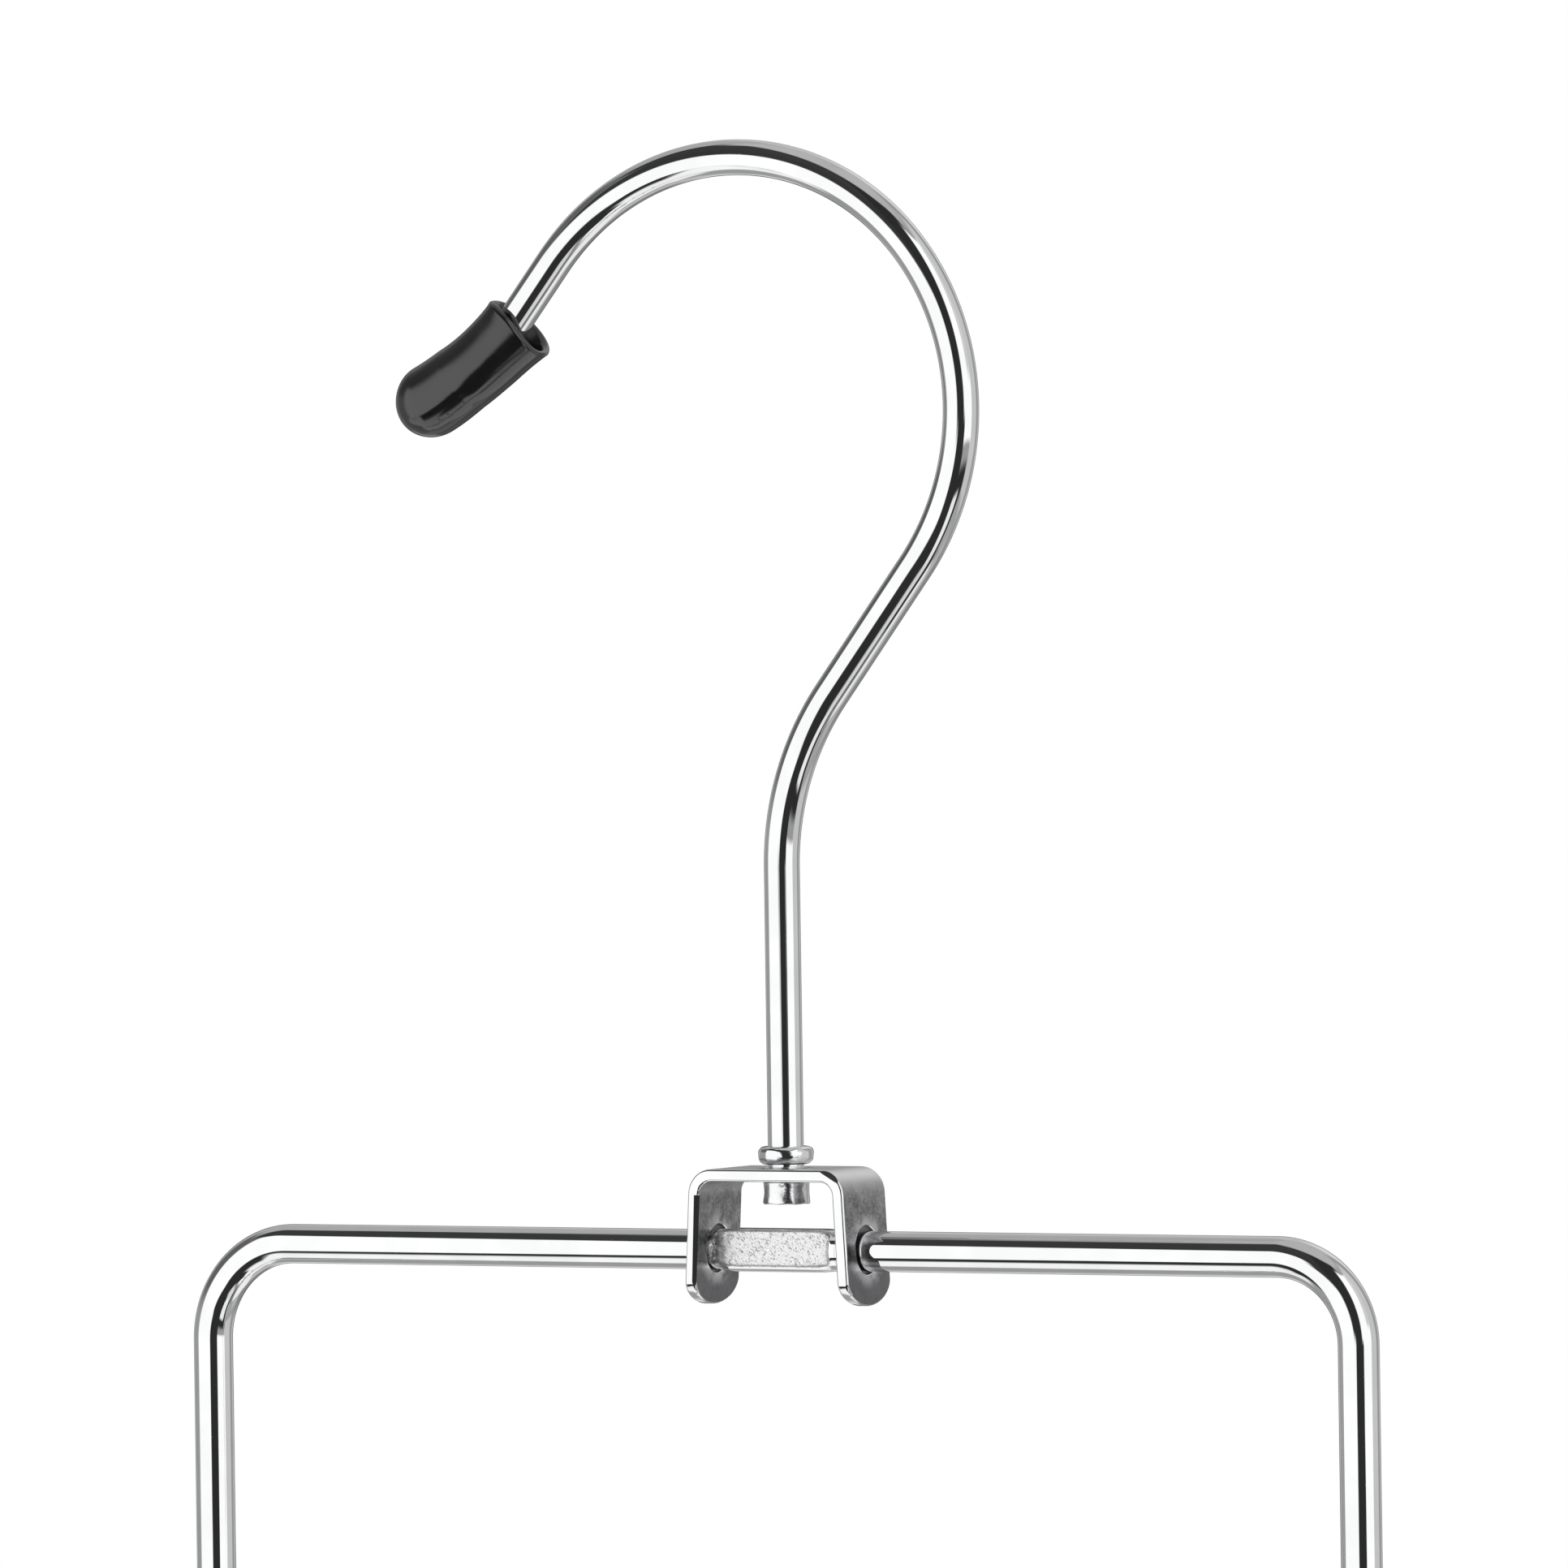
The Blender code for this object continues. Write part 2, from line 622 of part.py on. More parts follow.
def main():
    """Build the whole hanger."""
    clear_scene()
    home = make_collection("tie_and_belt_hanger")
    cutters = make_collection("cutters")
    chrome = metal("polished chrome", (0.80, 0.80, 0.82), 0.08)
    satin = metal("satin nickel sheet", (0.55, 0.55, 0.56), 0.35)
    vinyl = principled("black vinyl", (0.02, 0.02, 0.022), 0.25, 0.0)

    make_hook(home, cutters, chrome)
    make_hook_cap(home, cutters, vinyl)
    swivel = add_axis("hook_swivel_axis", home, None, (HOOK_OFFSET, 0, WEB_TOP))
    swing = add_axis("frame_swing_axis", home, swivel, (0, 0, -PIVOT_DROP))
    bpy.context.view_layer.update()
    make_bracket(home, cutters, satin, swivel)
    make_frame(home, cutters, chrome, swing)
    make_tie_bars(home, chrome, swing)
    make_belt_hooks(home, chrome, vinyl, swing)


main()
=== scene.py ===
"""Dressed model of a tie and belt hanger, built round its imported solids.

Units are metres, +Z is up and -Y is the front. The origin is the rod seat, the highest point
of the hook's inner side. Angles are in degrees.
"""

import logging
import math
from collections.abc import Callable, Mapping, Sequence
from dataclasses import dataclass
from enum import Enum
from functools import cached_property
from typing import Any

import bmesh
import bpy
from mathutils import Matrix, Vector, noise


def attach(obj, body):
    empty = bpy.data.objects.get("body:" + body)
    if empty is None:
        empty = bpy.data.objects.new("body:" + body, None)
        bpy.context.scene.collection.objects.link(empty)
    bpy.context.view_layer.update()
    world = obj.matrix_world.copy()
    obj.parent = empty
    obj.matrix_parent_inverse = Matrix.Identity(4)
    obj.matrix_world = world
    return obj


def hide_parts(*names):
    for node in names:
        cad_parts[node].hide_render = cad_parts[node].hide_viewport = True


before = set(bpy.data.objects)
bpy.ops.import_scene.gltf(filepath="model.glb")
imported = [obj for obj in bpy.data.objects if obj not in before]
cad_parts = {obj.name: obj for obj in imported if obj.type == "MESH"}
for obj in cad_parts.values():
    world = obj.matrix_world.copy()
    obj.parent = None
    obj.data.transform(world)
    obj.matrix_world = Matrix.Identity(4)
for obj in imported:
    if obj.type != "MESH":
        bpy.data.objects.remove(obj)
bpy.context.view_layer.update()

log = logging.getLogger("hanger")

MM = 0.001
# A cutter reaches past a flush face by a hair, and a ring smaller than the pole's radius is a point.
HAIR = 0.01 * MM
POLE_RADIUS = 0.001 * MM
RING_ATTRIBUTE = "wire_ring"
LENGTH_ATTRIBUTE = "wire_length"
SCALE_ATTRIBUTE = "wire_scale"
MASK_ATTRIBUTE = "pressed_face"


class Body(Enum):
    """The bodies that the joints move."""

    HOOK = "hook"
    BRACKET = "bracket"
    LADDER = "ladder"


class Slot(Enum):
    """The record's material slots."""

    CHROME = "polished_chrome"
    SATIN = "satin_nickel"
    VINYL = "black_vinyl"


class Signal:
    """One output socket of a node tree. Python's operators on it add Math nodes."""

    def __init__(self, graph: "NodeGraph", socket: bpy.types.NodeSocket | None) -> None:
        """Wrap an output socket of the graph, or None for a node without outputs."""
        self.graph = graph
        self.socket = socket

    def __add__(self, other: "Feed") -> "Signal":
        """The sum of this signal and another value."""
        return self.graph.math("ADD", self, other)

    def __radd__(self, other: "Feed") -> "Signal":
        """The sum of another value and this signal."""
        return self.graph.math("ADD", other, self)

    def __sub__(self, other: "Feed") -> "Signal":
        """This signal less another value."""
        return self.graph.math("SUBTRACT", self, other)

    def __rsub__(self, other: "Feed") -> "Signal":
        """Another value less this signal."""
        return self.graph.math("SUBTRACT", other, self)

    def __mul__(self, other: "Feed") -> "Signal":
        """The product of this signal and another value."""
        return self.graph.math("MULTIPLY", self, other)

    def __rmul__(self, other: "Feed") -> "Signal":
        """The product of another value and this signal."""
        return self.graph.math("MULTIPLY", other, self)

    def __truediv__(self, other: "Feed") -> "Signal":
        """This signal divided by another value."""
        return self.graph.math("DIVIDE", self, other)

    def other(self, name: str) -> "Signal":
        """Another output of the same node."""
        return Signal(self.graph, self.socket.node.outputs[name])


Feed = Signal | float | int | bool | str | tuple | Vector | bpy.types.Material


class NodeGraph:
    """A node tree that is written as Python expressions."""

    def __init__(self, tree: bpy.types.NodeTree) -> None:
        """Work on a node tree."""
        self.tree = tree

    def node(
        self,
        kind: str,
        settings: Mapping[str, Any] | None = None,
        inputs: Mapping[int | str, Feed] | None = None,
        output: int | str = 0,
    ) -> Signal:
        """Add a node.

        Args:
            kind: The node's type.
            settings: The node's own properties, set before its sockets.
            inputs: A value or a signal for each named or numbered input.
            output: The output to return.

        Returns:
            The chosen output.
        """
        made = self.tree.nodes.new(kind)
        for name, value in (settings or {}).items():
            setattr(made, name, value)
        for key, value in (inputs or {}).items():
            self.feed(made.inputs[key], value)
        return Signal(self, made.outputs[output] if made.outputs else None)

    def feed(self, socket: bpy.types.NodeSocket, value: Feed) -> None:
        """Link a signal to an input socket, or set its value.

        Args:
            socket: The input socket.
            value: A signal to link, or a value to set.
        """
        if isinstance(value, Signal):
            self.tree.links.new(value.socket, socket)
        else:
            socket.default_value = value

    def math(self, operation: str, *values: Feed) -> Signal:
        """Add a Math node for an operation on one, two or three values."""
        return self.node("ShaderNodeMath", {"operation": operation}, dict(enumerate(values)))

    def vector(self, x: Feed, y: Feed, z: Feed) -> Signal:
        """Join three numbers into a vector."""
        return self.node("ShaderNodeCombineXYZ", None, {0: x, 1: y, 2: z})

    def scaled(self, vector: Signal, factors: tuple[float, float, float]) -> Signal:
        """Multiply a vector by a factor for each axis."""
        return self.node("ShaderNodeVectorMath", {"operation": "MULTIPLY"}, {0: vector, 1: factors})

    def rising(self, value: Signal, low: float, high: float) -> Signal:
        """A smooth step from 0 at the low value to 1 at the high one."""
        inputs = {0: value, 1: low, 2: high, 3: 0.0, 4: 1.0}
        return self.node("ShaderNodeMapRange", {"interpolation_type": "SMOOTHSTEP"}, inputs)

    def falling(self, value: Signal, low: float, high: float) -> Signal:
        """A smooth step from 1 at the low value to 0 at the high one."""
        return 1.0 - self.rising(value, low, high)

    def blend(self, base: "Signal | float", level: float, mask: Signal) -> Signal:
        """Move from a base to a level where a mask is 1."""
        return base + (level - base) * mask

    def clouds(self, place: Signal, scale: float, detail: float, roughness: float = 0.5) -> Signal:
        """Noise between 0 and 1.

        Args:
            place: The coordinates.
            scale: Features for each metre, or for each unit of the coordinates.
            detail: The number of finer octaves.
            roughness: How strong the finer octaves are.

        Returns:
            The noise.
        """
        inputs = {"Vector": place, "Scale": scale, "Detail": detail, "Roughness": roughness}
        return self.node("ShaderNodeTexNoise", None, inputs)

    def tint(self, dark: Sequence[float], light: Sequence[float], mask: Signal) -> Signal:
        """Mix two colours by a mask.

        Args:
            dark: The colour where the mask is 0.
            light: The colour where the mask is 1.
            mask: The mask.

        Returns:
            The colour.
        """
        return self.mixed((*dark, 1.0), (*light, 1.0), mask)

    def mixed(self, base: Feed, over: Feed, mask: Signal) -> Signal:
        """Lay a colour over another.

        Args:
            base: The colour below.
            over: The colour that shows where the mask is 1.
            mask: The mask.

        Returns:
            The colour.
        """
        made = self.node("ShaderNodeMix", {"data_type": "RGBA"}, {"Factor": mask}).socket.node
        colours = [socket for socket in made.inputs if socket.type == "RGBA"]
        self.feed(colours[0], base)
        self.feed(colours[1], over)
        return Signal(self, next(socket for socket in made.outputs if socket.type == "RGBA"))

    def bump(self, height: Signal, distance: float, below: Signal | None = None) -> Signal:
        """Turn a height between 0 and 1 into a normal.

        Args:
            height: The height.
            distance: The real height of 1, in metres.
            below: A normal that this one is laid over.

        Returns:
            The normal.
        """
        inputs: dict[int | str, Feed] = {"Strength": 1.0, "Distance": distance, "Height": height}
        if below is not None:
            inputs["Normal"] = below
        return self.node("ShaderNodeBump", None, inputs)


class SurfaceGraph(NodeGraph):
    """The nodes of one material, round its Principled shader."""

    def __init__(self, name: str) -> None:
        """Start a material of a given name."""
        self.material = bpy.data.materials.new(name)
        self.material.use_nodes = True
        super().__init__(self.material.node_tree)
        self.shader = self.tree.nodes["Principled BSDF"]
        self.place = self.node("ShaderNodeTexCoord", None, None, "Object")

    def attribute(self, name: str, output: str) -> Signal:
        """An attribute of the piece's mesh."""
        settings = {"attribute_type": "GEOMETRY", "attribute_name": name}
        return self.node("ShaderNodeAttribute", settings, None, output)

    def drawn_place(self, along: float) -> Signal:
        """Coordinates that run with a wire.

        Args:
            along: How much the wire's length counts beside its cross-section.

        Returns:
            The coordinates, in metres.
        """
        ring = self.node("ShaderNodeSeparateXYZ", None, {0: self.attribute(RING_ATTRIBUTE, "Vector")})
        length = self.attribute(LENGTH_ATTRIBUTE, "Fac")
        return self.vector(ring, ring.other("Y"), length * along)

    def set(self, **sockets: Feed) -> None:
        """Feed sockets of the shader, named with underscores for spaces."""
        names = {socket.name.replace(" ", "_").lower(): socket for socket in self.shader.inputs}
        for name, value in sockets.items():
            self.feed(names[name], value)


@dataclass(frozen=True)
class PolishedChrome:
    """Bright chrome plating. On drawn wire, faint lines run with the wire."""

    name: str
    on_wire: bool = True
    light: tuple[float, float, float] = (0.885, 0.888, 0.893)
    dark: tuple[float, float, float] = (0.835, 0.838, 0.845)
    roughness: float = 0.025
    haze_scale: float = 180.0
    wave_scale: float = 140.0
    wave_height: float = 0.000009
    line_scale: float = 3800.0
    line_stretch: float = 0.02
    line_height: float = 0.0000009
    scratch_scale: float = 5200.0
    scratch_stretch: float = 0.3
    scuff_scale: float = 3000.0
    dent_scale: float = 1500.0
    dent_height: float = 0.0

    def material(self) -> bpy.types.Material:
        """Build the material."""
        graph = SurfaceGraph(self.name)
        normal = graph.bump(graph.clouds(graph.place, self.wave_scale, 1.0), self.wave_height)
        if self.on_wire:
            lines = graph.clouds(graph.drawn_place(self.line_stretch), self.line_scale, 2.0, 0.6)
            normal = graph.bump(lines, self.line_height, normal)
            marks = graph.clouds(graph.drawn_place(self.scratch_stretch), self.scratch_scale, 2.0)
            scratches = graph.rising(marks, 0.66, 0.78)
        else:
            scratches = graph.rising(graph.clouds(graph.place, self.scuff_scale, 3.0), 0.62, 0.76)
        if self.dent_height:
            dents = graph.clouds(graph.place, self.dent_scale, 2.0, 0.6)
            normal = graph.bump(dents, self.dent_height, normal)
        haze = graph.rising(graph.clouds(graph.place, self.haze_scale, 3.0), 0.35, 0.7)
        graph.set(
            base_color=graph.tint(self.dark, self.light, haze),
            roughness=self.roughness + 0.02 * haze + 0.12 * scratches,
            metallic=1.0,
            normal=normal,
        )
        return graph.material


@dataclass(frozen=True)
class SatinNickel:
    """Satin plating on bent sheet, finely mottled.

    It is lighter where it is worn by a hole and lighter on top as a painted highlight, and it can be darker
    below the hole as painted shade.
    """

    name: str = "satin_nickel_sheet"
    light: tuple[float, float, float] = (0.53, 0.53, 0.54)
    dark: tuple[float, float, float] = (0.22, 0.22, 0.23)
    # The lighter colour of the worn ring by the hole and of the painted highlight on top.
    wear_and_sheen: tuple[float, float, float] = (0.86, 0.86, 0.87)
    roughness: float = 0.24
    grain_scale: float = 3400.0
    grain_height: float = 0.000006
    mottle_scale: float = 560.0
    hole_z: float = 0.0
    # Where the painted highlight on top is full, and how far down it fades out.
    bend_z: float = 0.0
    top_sheen_fade: float = 0.0030
    rubbed_radius: tuple[float, float] = (0.0026, 0.0046)
    # How dark the painted shade below the hole is, and how far below the hole it fades in.
    painted_shade: float = 0.0
    painted_shade_drop: tuple[float, float] = (0.0030, 0.0012)

    def material(self) -> bpy.types.Material:
        """Build the material."""
        graph = SurfaceGraph(self.name)
        grain = graph.clouds(graph.place, self.grain_scale, 3.0, 0.6)
        mottle = graph.clouds(graph.place, self.mottle_scale, 3.0, 0.6)
        height = graph.node("ShaderNodeSeparateXYZ", None, {0: graph.place}).other("Z")
        low, high = (self.hole_z - drop for drop in self.painted_shade_drop)
        shade = graph.rising(0.5 * grain + 0.5 * mottle, 0.36, 0.64)
        # Painted shade: the sheet is darker below the hole.
        shade = shade * (1.0 - self.painted_shade * graph.falling(height, low, high))
        sheet = graph.tint(self.dark, self.light, shade)
        beside = graph.scaled(graph.place, (0.0, 1.0, 1.0))
        inputs = {0: beside, 1: (0.0, 0.0, self.hole_z)}
        away = graph.node("ShaderNodeVectorMath", {"operation": "DISTANCE"}, inputs, "Value")
        by_hole = graph.falling(away, *self.rubbed_radius) * graph.rising(mottle, 0.25, 0.55)
        # Painted highlight: the sheet is lighter towards its top.
        painted_top_sheen = graph.rising(height, self.bend_z - self.top_sheen_fade, self.bend_z)
        # The worn ring by the hole together with the painted highlight on top.
        wear_and_sheen_mask = graph.math("MAXIMUM", by_hole, painted_top_sheen)
        graph.set(
            base_color=graph.mixed(sheet, (*self.wear_and_sheen, 1.0), wear_and_sheen_mask),
            roughness=self.roughness + 0.14 * mottle + 0.04 * painted_top_sheen,
            metallic=1.0,
            normal=graph.bump(0.4 * grain + 0.6 * mottle, self.grain_height),
        )
        return graph.material


@dataclass(frozen=True)
class PressedSteel:
    """Plated steel whose flat faces keep the press's rough, scratched print."""

    left_end: float
    name: str = "pressed_block_steel"
    light: tuple[float, float, float] = (0.90, 0.90, 0.90)
    dark: tuple[float, float, float] = (0.26, 0.26, 0.26)
    grain_scale: float = 6400.0
    grain_height: float = 0.000016
    mottle_scale: float = 1900.0
    scratch_scale: float = 7400.0
    scratch_stretch: float = 0.42
    scratch_slant: float = -38.0
    # How far from the left end the face is darker in blotches.
    dark_end_length: float = 0.0020

    def material(self) -> bpy.types.Material:
        """Build the material."""
        graph = SurfaceGraph(self.name)
        flat = graph.attribute(MASK_ATTRIBUTE, "Fac")
        turn = (0.0, math.radians(self.scratch_slant), 0.0)
        turned = graph.node("ShaderNodeMapping", None, {"Vector": graph.place, "Rotation": turn})
        stretched = graph.scaled(turned, (self.scratch_stretch, 1.0, 1.0))
        cuts = graph.rising(graph.clouds(stretched, self.scratch_scale, 3.0, 0.7), 0.55, 0.66)
        grain = graph.clouds(graph.place, self.grain_scale, 4.0, 0.7)
        mottle = graph.clouds(graph.place, self.mottle_scale, 3.0, 0.6)
        height = 0.5 * grain + 0.6 * mottle - 0.7 * cuts
        along = graph.node("ShaderNodeSeparateXYZ", None, {0: graph.place})
        # The face is darker in blotches towards its left end.
        dark_end_fade = graph.falling(along, self.left_end, self.left_end + self.dark_end_length)
        dark_blotches = graph.rising(mottle, 0.40, 0.56) * dark_end_fade
        grey = 0.72 + 0.28 * graph.rising(grain, 0.34, 0.60)
        shade = (1.0 - 0.85 * cuts) * grey * (1.0 - 0.8 * dark_blotches)
        clear = (1.0 - flat) + flat * shade
        graph.set(
            base_color=graph.tint(self.dark, self.light, clear),
            roughness=0.05 + flat * (0.22 + 0.16 * mottle),
            metallic=1.0,
            normal=graph.bump(height * flat, self.grain_height),
        )
        return graph.material


@dataclass(frozen=True)
class GlossVinyl:
    """Soft black vinyl with a slightly wavy gloss, and a few bubbles where they are given.

    Its gloss is duller on one side, from a distance along a direction to another.
    """

    name: str
    bubbles: tuple[tuple[float, float, float], ...] = ()
    dull_direction: tuple[float, float, float] = (0.0, 0.0, 1.0)
    dull_range: tuple[float, float] = (0.0, 0.001)
    dull: float = 0.0
    light: tuple[float, float, float] = (0.013, 0.013, 0.014)
    dark: tuple[float, float, float] = (0.007, 0.007, 0.008)
    roughness: float = 0.07
    wave_scale: float = 170.0
    wave_height: float = 0.00004
    grain_scale: float = 2600.0
    grain_height: float = 0.0000012
    bubble_radius: float = 0.00017
    bubble_height: float = 0.00004

    def material(self) -> bpy.types.Material:
        """Build the material."""
        graph = SurfaceGraph(self.name)
        wave = graph.clouds(graph.place, self.wave_scale, 1.5)
        grain = graph.clouds(graph.place, self.grain_scale, 3.0, 0.6)
        normal = graph.bump(grain, self.grain_height, graph.bump(wave, self.wave_height))
        for bubble in self.bubbles:
            inputs = {0: graph.place, 1: bubble}
            away = graph.node("ShaderNodeVectorMath", {"operation": "DISTANCE"}, inputs, "Value")
            rise = graph.falling(away, 0.0, self.bubble_radius)
            normal = graph.bump(rise, self.bubble_height, normal)
        inputs = {0: graph.place, 1: self.dull_direction}
        along = graph.node("ShaderNodeVectorMath", {"operation": "DOT_PRODUCT"}, inputs, "Value")
        dull = graph.rising(along, *self.dull_range)
        graph.set(
            base_color=graph.tint(self.dark, self.light, graph.rising(wave, 0.3, 0.7)),
            roughness=self.roughness + 0.08 * grain + self.dull * dull,
            specular_ior_level=1.0,
            normal=normal,
        )
        return graph.material


@dataclass(frozen=True)
class PaleFloor:
    """A matt, nearly white floor."""

    name: str = "pale_floor"
    light: tuple[float, float, float] = (0.97, 0.97, 0.97)
    dark: tuple[float, float, float] = (0.95, 0.95, 0.95)

    def material(self) -> bpy.types.Material:
        """Build the material."""
        graph = SurfaceGraph(self.name)
        clouds = graph.clouds(graph.place, 3.0, 2.0)
        graph.set(base_color=graph.tint(self.dark, self.light, clouds), roughness=0.9)
        return graph.material


def direction(heading: float) -> Vector:
    """The unit vector in the XZ plane at an angle from +X towards +Z."""
    return Vector((math.cos(math.radians(heading)), 0.0, math.sin(math.radians(heading))))


def left_of(heading: float) -> Vector:
    """The unit vector a quarter turn to the left of a heading."""
    return direction(heading + 90.0)


def level_axes(azimuth: float) -> tuple[Vector, Vector]:
    """The level unit vectors that belong to an azimuth, which is 0 to the front and 90 to the right.

    Args:
        azimuth: The azimuth.

    Returns:
        The vector from the object that way, and the one to the right of who looks back from there.
    """
    angle = math.radians(azimuth)
    right = Vector((math.cos(angle), math.sin(angle), 0.0))
    return Vector((math.sin(angle), -math.cos(angle), 0.0)), right


class WirePath:
    """A wire's middle line in the XZ plane, followed from its start."""

    def __init__(self, start: Sequence[float], heading: float, step: float) -> None:
        """Start a line.

        Args:
            start: The first point.
            heading: The first direction, from +X towards +Z.
            step: The largest turn between two points of a bend.
        """
        self.step = step
        self.points = [Vector(start)]
        self.headings = [heading]

    def run(self, length: float) -> "WirePath":
        """Go straight on for a length."""
        self.points.append(self.points[-1] + direction(self.headings[-1]) * length)
        self.headings.append(self.headings[-1])
        return self

    def bend(self, radius: float, turn: float) -> "WirePath":
        """Bend by an angle, to the left where it is positive.

        Args:
            radius: The bend's radius at the middle line.
            turn: The angle.

        Returns:
            This line.
        """
        side = math.copysign(1.0, turn)
        first = self.headings[-1]
        centre = self.points[-1] + left_of(first) * radius * side
        steps = max(2, math.ceil(abs(turn) / self.step))
        for step in range(1, steps + 1):
            heading = first + turn * step / steps
            self.points.append(centre - left_of(heading) * radius * side)
            self.headings.append(heading)
        return self


def link_mesh(name: str, work: bmesh.types.BMesh) -> bpy.types.Object:
    """Make a linked object of a finished bmesh, and free the bmesh.

    Args:
        name: The piece's name.
        work: The mesh.

    Returns:
        The object, at the origin.
    """
    mesh = bpy.data.meshes.new(name)
    work.to_mesh(mesh)
    work.free()
    made = bpy.data.objects.new(name, mesh)
    bpy.context.scene.collection.objects.link(made)
    return made


def path_object(name: str, points: Sequence[Vector]) -> bpy.types.Object:
    """Make an object of edges along a list of points.

    Args:
        name: The piece's name.
        points: The points.

    Returns:
        The object.
    """
    work = bmesh.new()
    corners = [work.verts.new(point) for point in points]
    for first, second in zip(corners, corners[1:]):
        work.edges.new((first, second))
    return link_mesh(name, work)


def loft(
    work: bmesh.types.BMesh, rings: Sequence[Sequence[Vector]], closed: bool = False
) -> list[list[bmesh.types.BMVert]]:
    """Join rings of points by faces. A ring of one point is a pole.

    Args:
        work: The mesh to add to.
        rings: The rings, each with the same number of points or with one.
        closed: Whether the last ring joins the first.

    Returns:
        The vertices, ring by ring.
    """
    made = [[work.verts.new(point) for point in ring] for ring in rings]
    pairs = list(zip(made, made[1:]))
    if closed:
        pairs.append((made[-1], made[0]))
    for first, second in pairs:
        count = max(len(first), len(second))
        for index in range(count):
            after = (index + 1) % count
            corners = [first[index % len(first)]]
            if len(first) > 1:
                corners.append(first[after])
            corners.append(second[after % len(second)])
            if len(second) > 1:
                corners.append(second[index])
            work.faces.new(corners)
    bmesh.ops.recalc_face_normals(work, faces=work.faces)
    return made


def shade_round(item: bpy.types.Object, sharp: float = 40.0) -> None:
    """Smooth shading with sharp edges where faces meet at more than an angle."""
    item.data.shade_smooth()
    item.data.set_sharp_from_angle(angle=math.radians(sharp))


def lofted(
    name: str, rings: Sequence[Sequence[Vector]], sharp: float, closed: bool = False
) -> bpy.types.Object:
    """Make a smoothly shaded object of rings of points.

    Args:
        name: The piece's name.
        rings: The rings.
        sharp: The angle past which an edge stays sharp.
        closed: Whether the last ring joins the first.

    Returns:
        The object.
    """
    work = bmesh.new()
    loft(work, rings, closed)
    item = link_mesh(name, work)
    shade_round(item, sharp)
    return item


def settle(item: bpy.types.Object) -> bpy.types.Object:
    """Turn a piece's evaluated modifiers into its plain mesh, and remove them."""
    graph = bpy.context.evaluated_depsgraph_get()
    evaluated = item.evaluated_get(graph)
    settings = {"preserve_all_data_layers": True, "depsgraph": graph}
    mesh = bpy.data.meshes.new_from_object(evaluated, **settings)
    item.modifiers.clear()
    item.data = mesh
    mesh.name = item.name
    return item


@dataclass(frozen=True)
class Ripple:
    """Smooth unevenness in space, the same on every run.

    Its scale is in features for each metre, and its seed makes another pattern.
    """

    scale: float
    height: float
    seed: float

    def at(self, point: Vector) -> float:
        """The unevenness at a place, between minus and plus the height."""
        offset = Vector((self.seed, self.seed * 0.7, self.seed * 1.3))
        return noise.noise(point * self.scale + offset) * self.height


def arc(
    centre: tuple[float, float], radii: tuple[float, float], turn: tuple[float, float], steps: int
) -> list[tuple[float, float]]:
    """Points of an elliptical arc.

    Args:
        centre: The ellipse's centre.
        radii: Its two half axes.
        turn: The first and the last angle, from the first axis.
        steps: The number of steps.

    Returns:
        The points.
    """
    angles = [math.radians(turn[0] + (turn[1] - turn[0]) * step / steps) for step in range(steps + 1)]
    return [(centre[0] + radii[0] * math.cos(a), centre[1] + radii[1] * math.sin(a)) for a in angles]


def lathe_rings(
    profile: Sequence[tuple[float, float]],
    sides: int,
    place: Callable[[float, float, float], Vector],
) -> list[list[Vector]]:
    """Rings of a turned shape.

    Args:
        profile: (radius, height) pairs from one pole to the other.
        sides: The number of sides.
        place: Gives the point for a radius, an angle and a height.

    Returns:
        The rings. A radius of zero gives a pole.
    """
    rings = []
    for radius, height in profile:
        if radius <= POLE_RADIUS:
            rings.append([place(0.0, 0.0, height)])
            continue
        angles = [2 * math.pi * side / sides for side in range(sides)]
        rings.append([place(radius, angle, height) for angle in angles])
    return rings


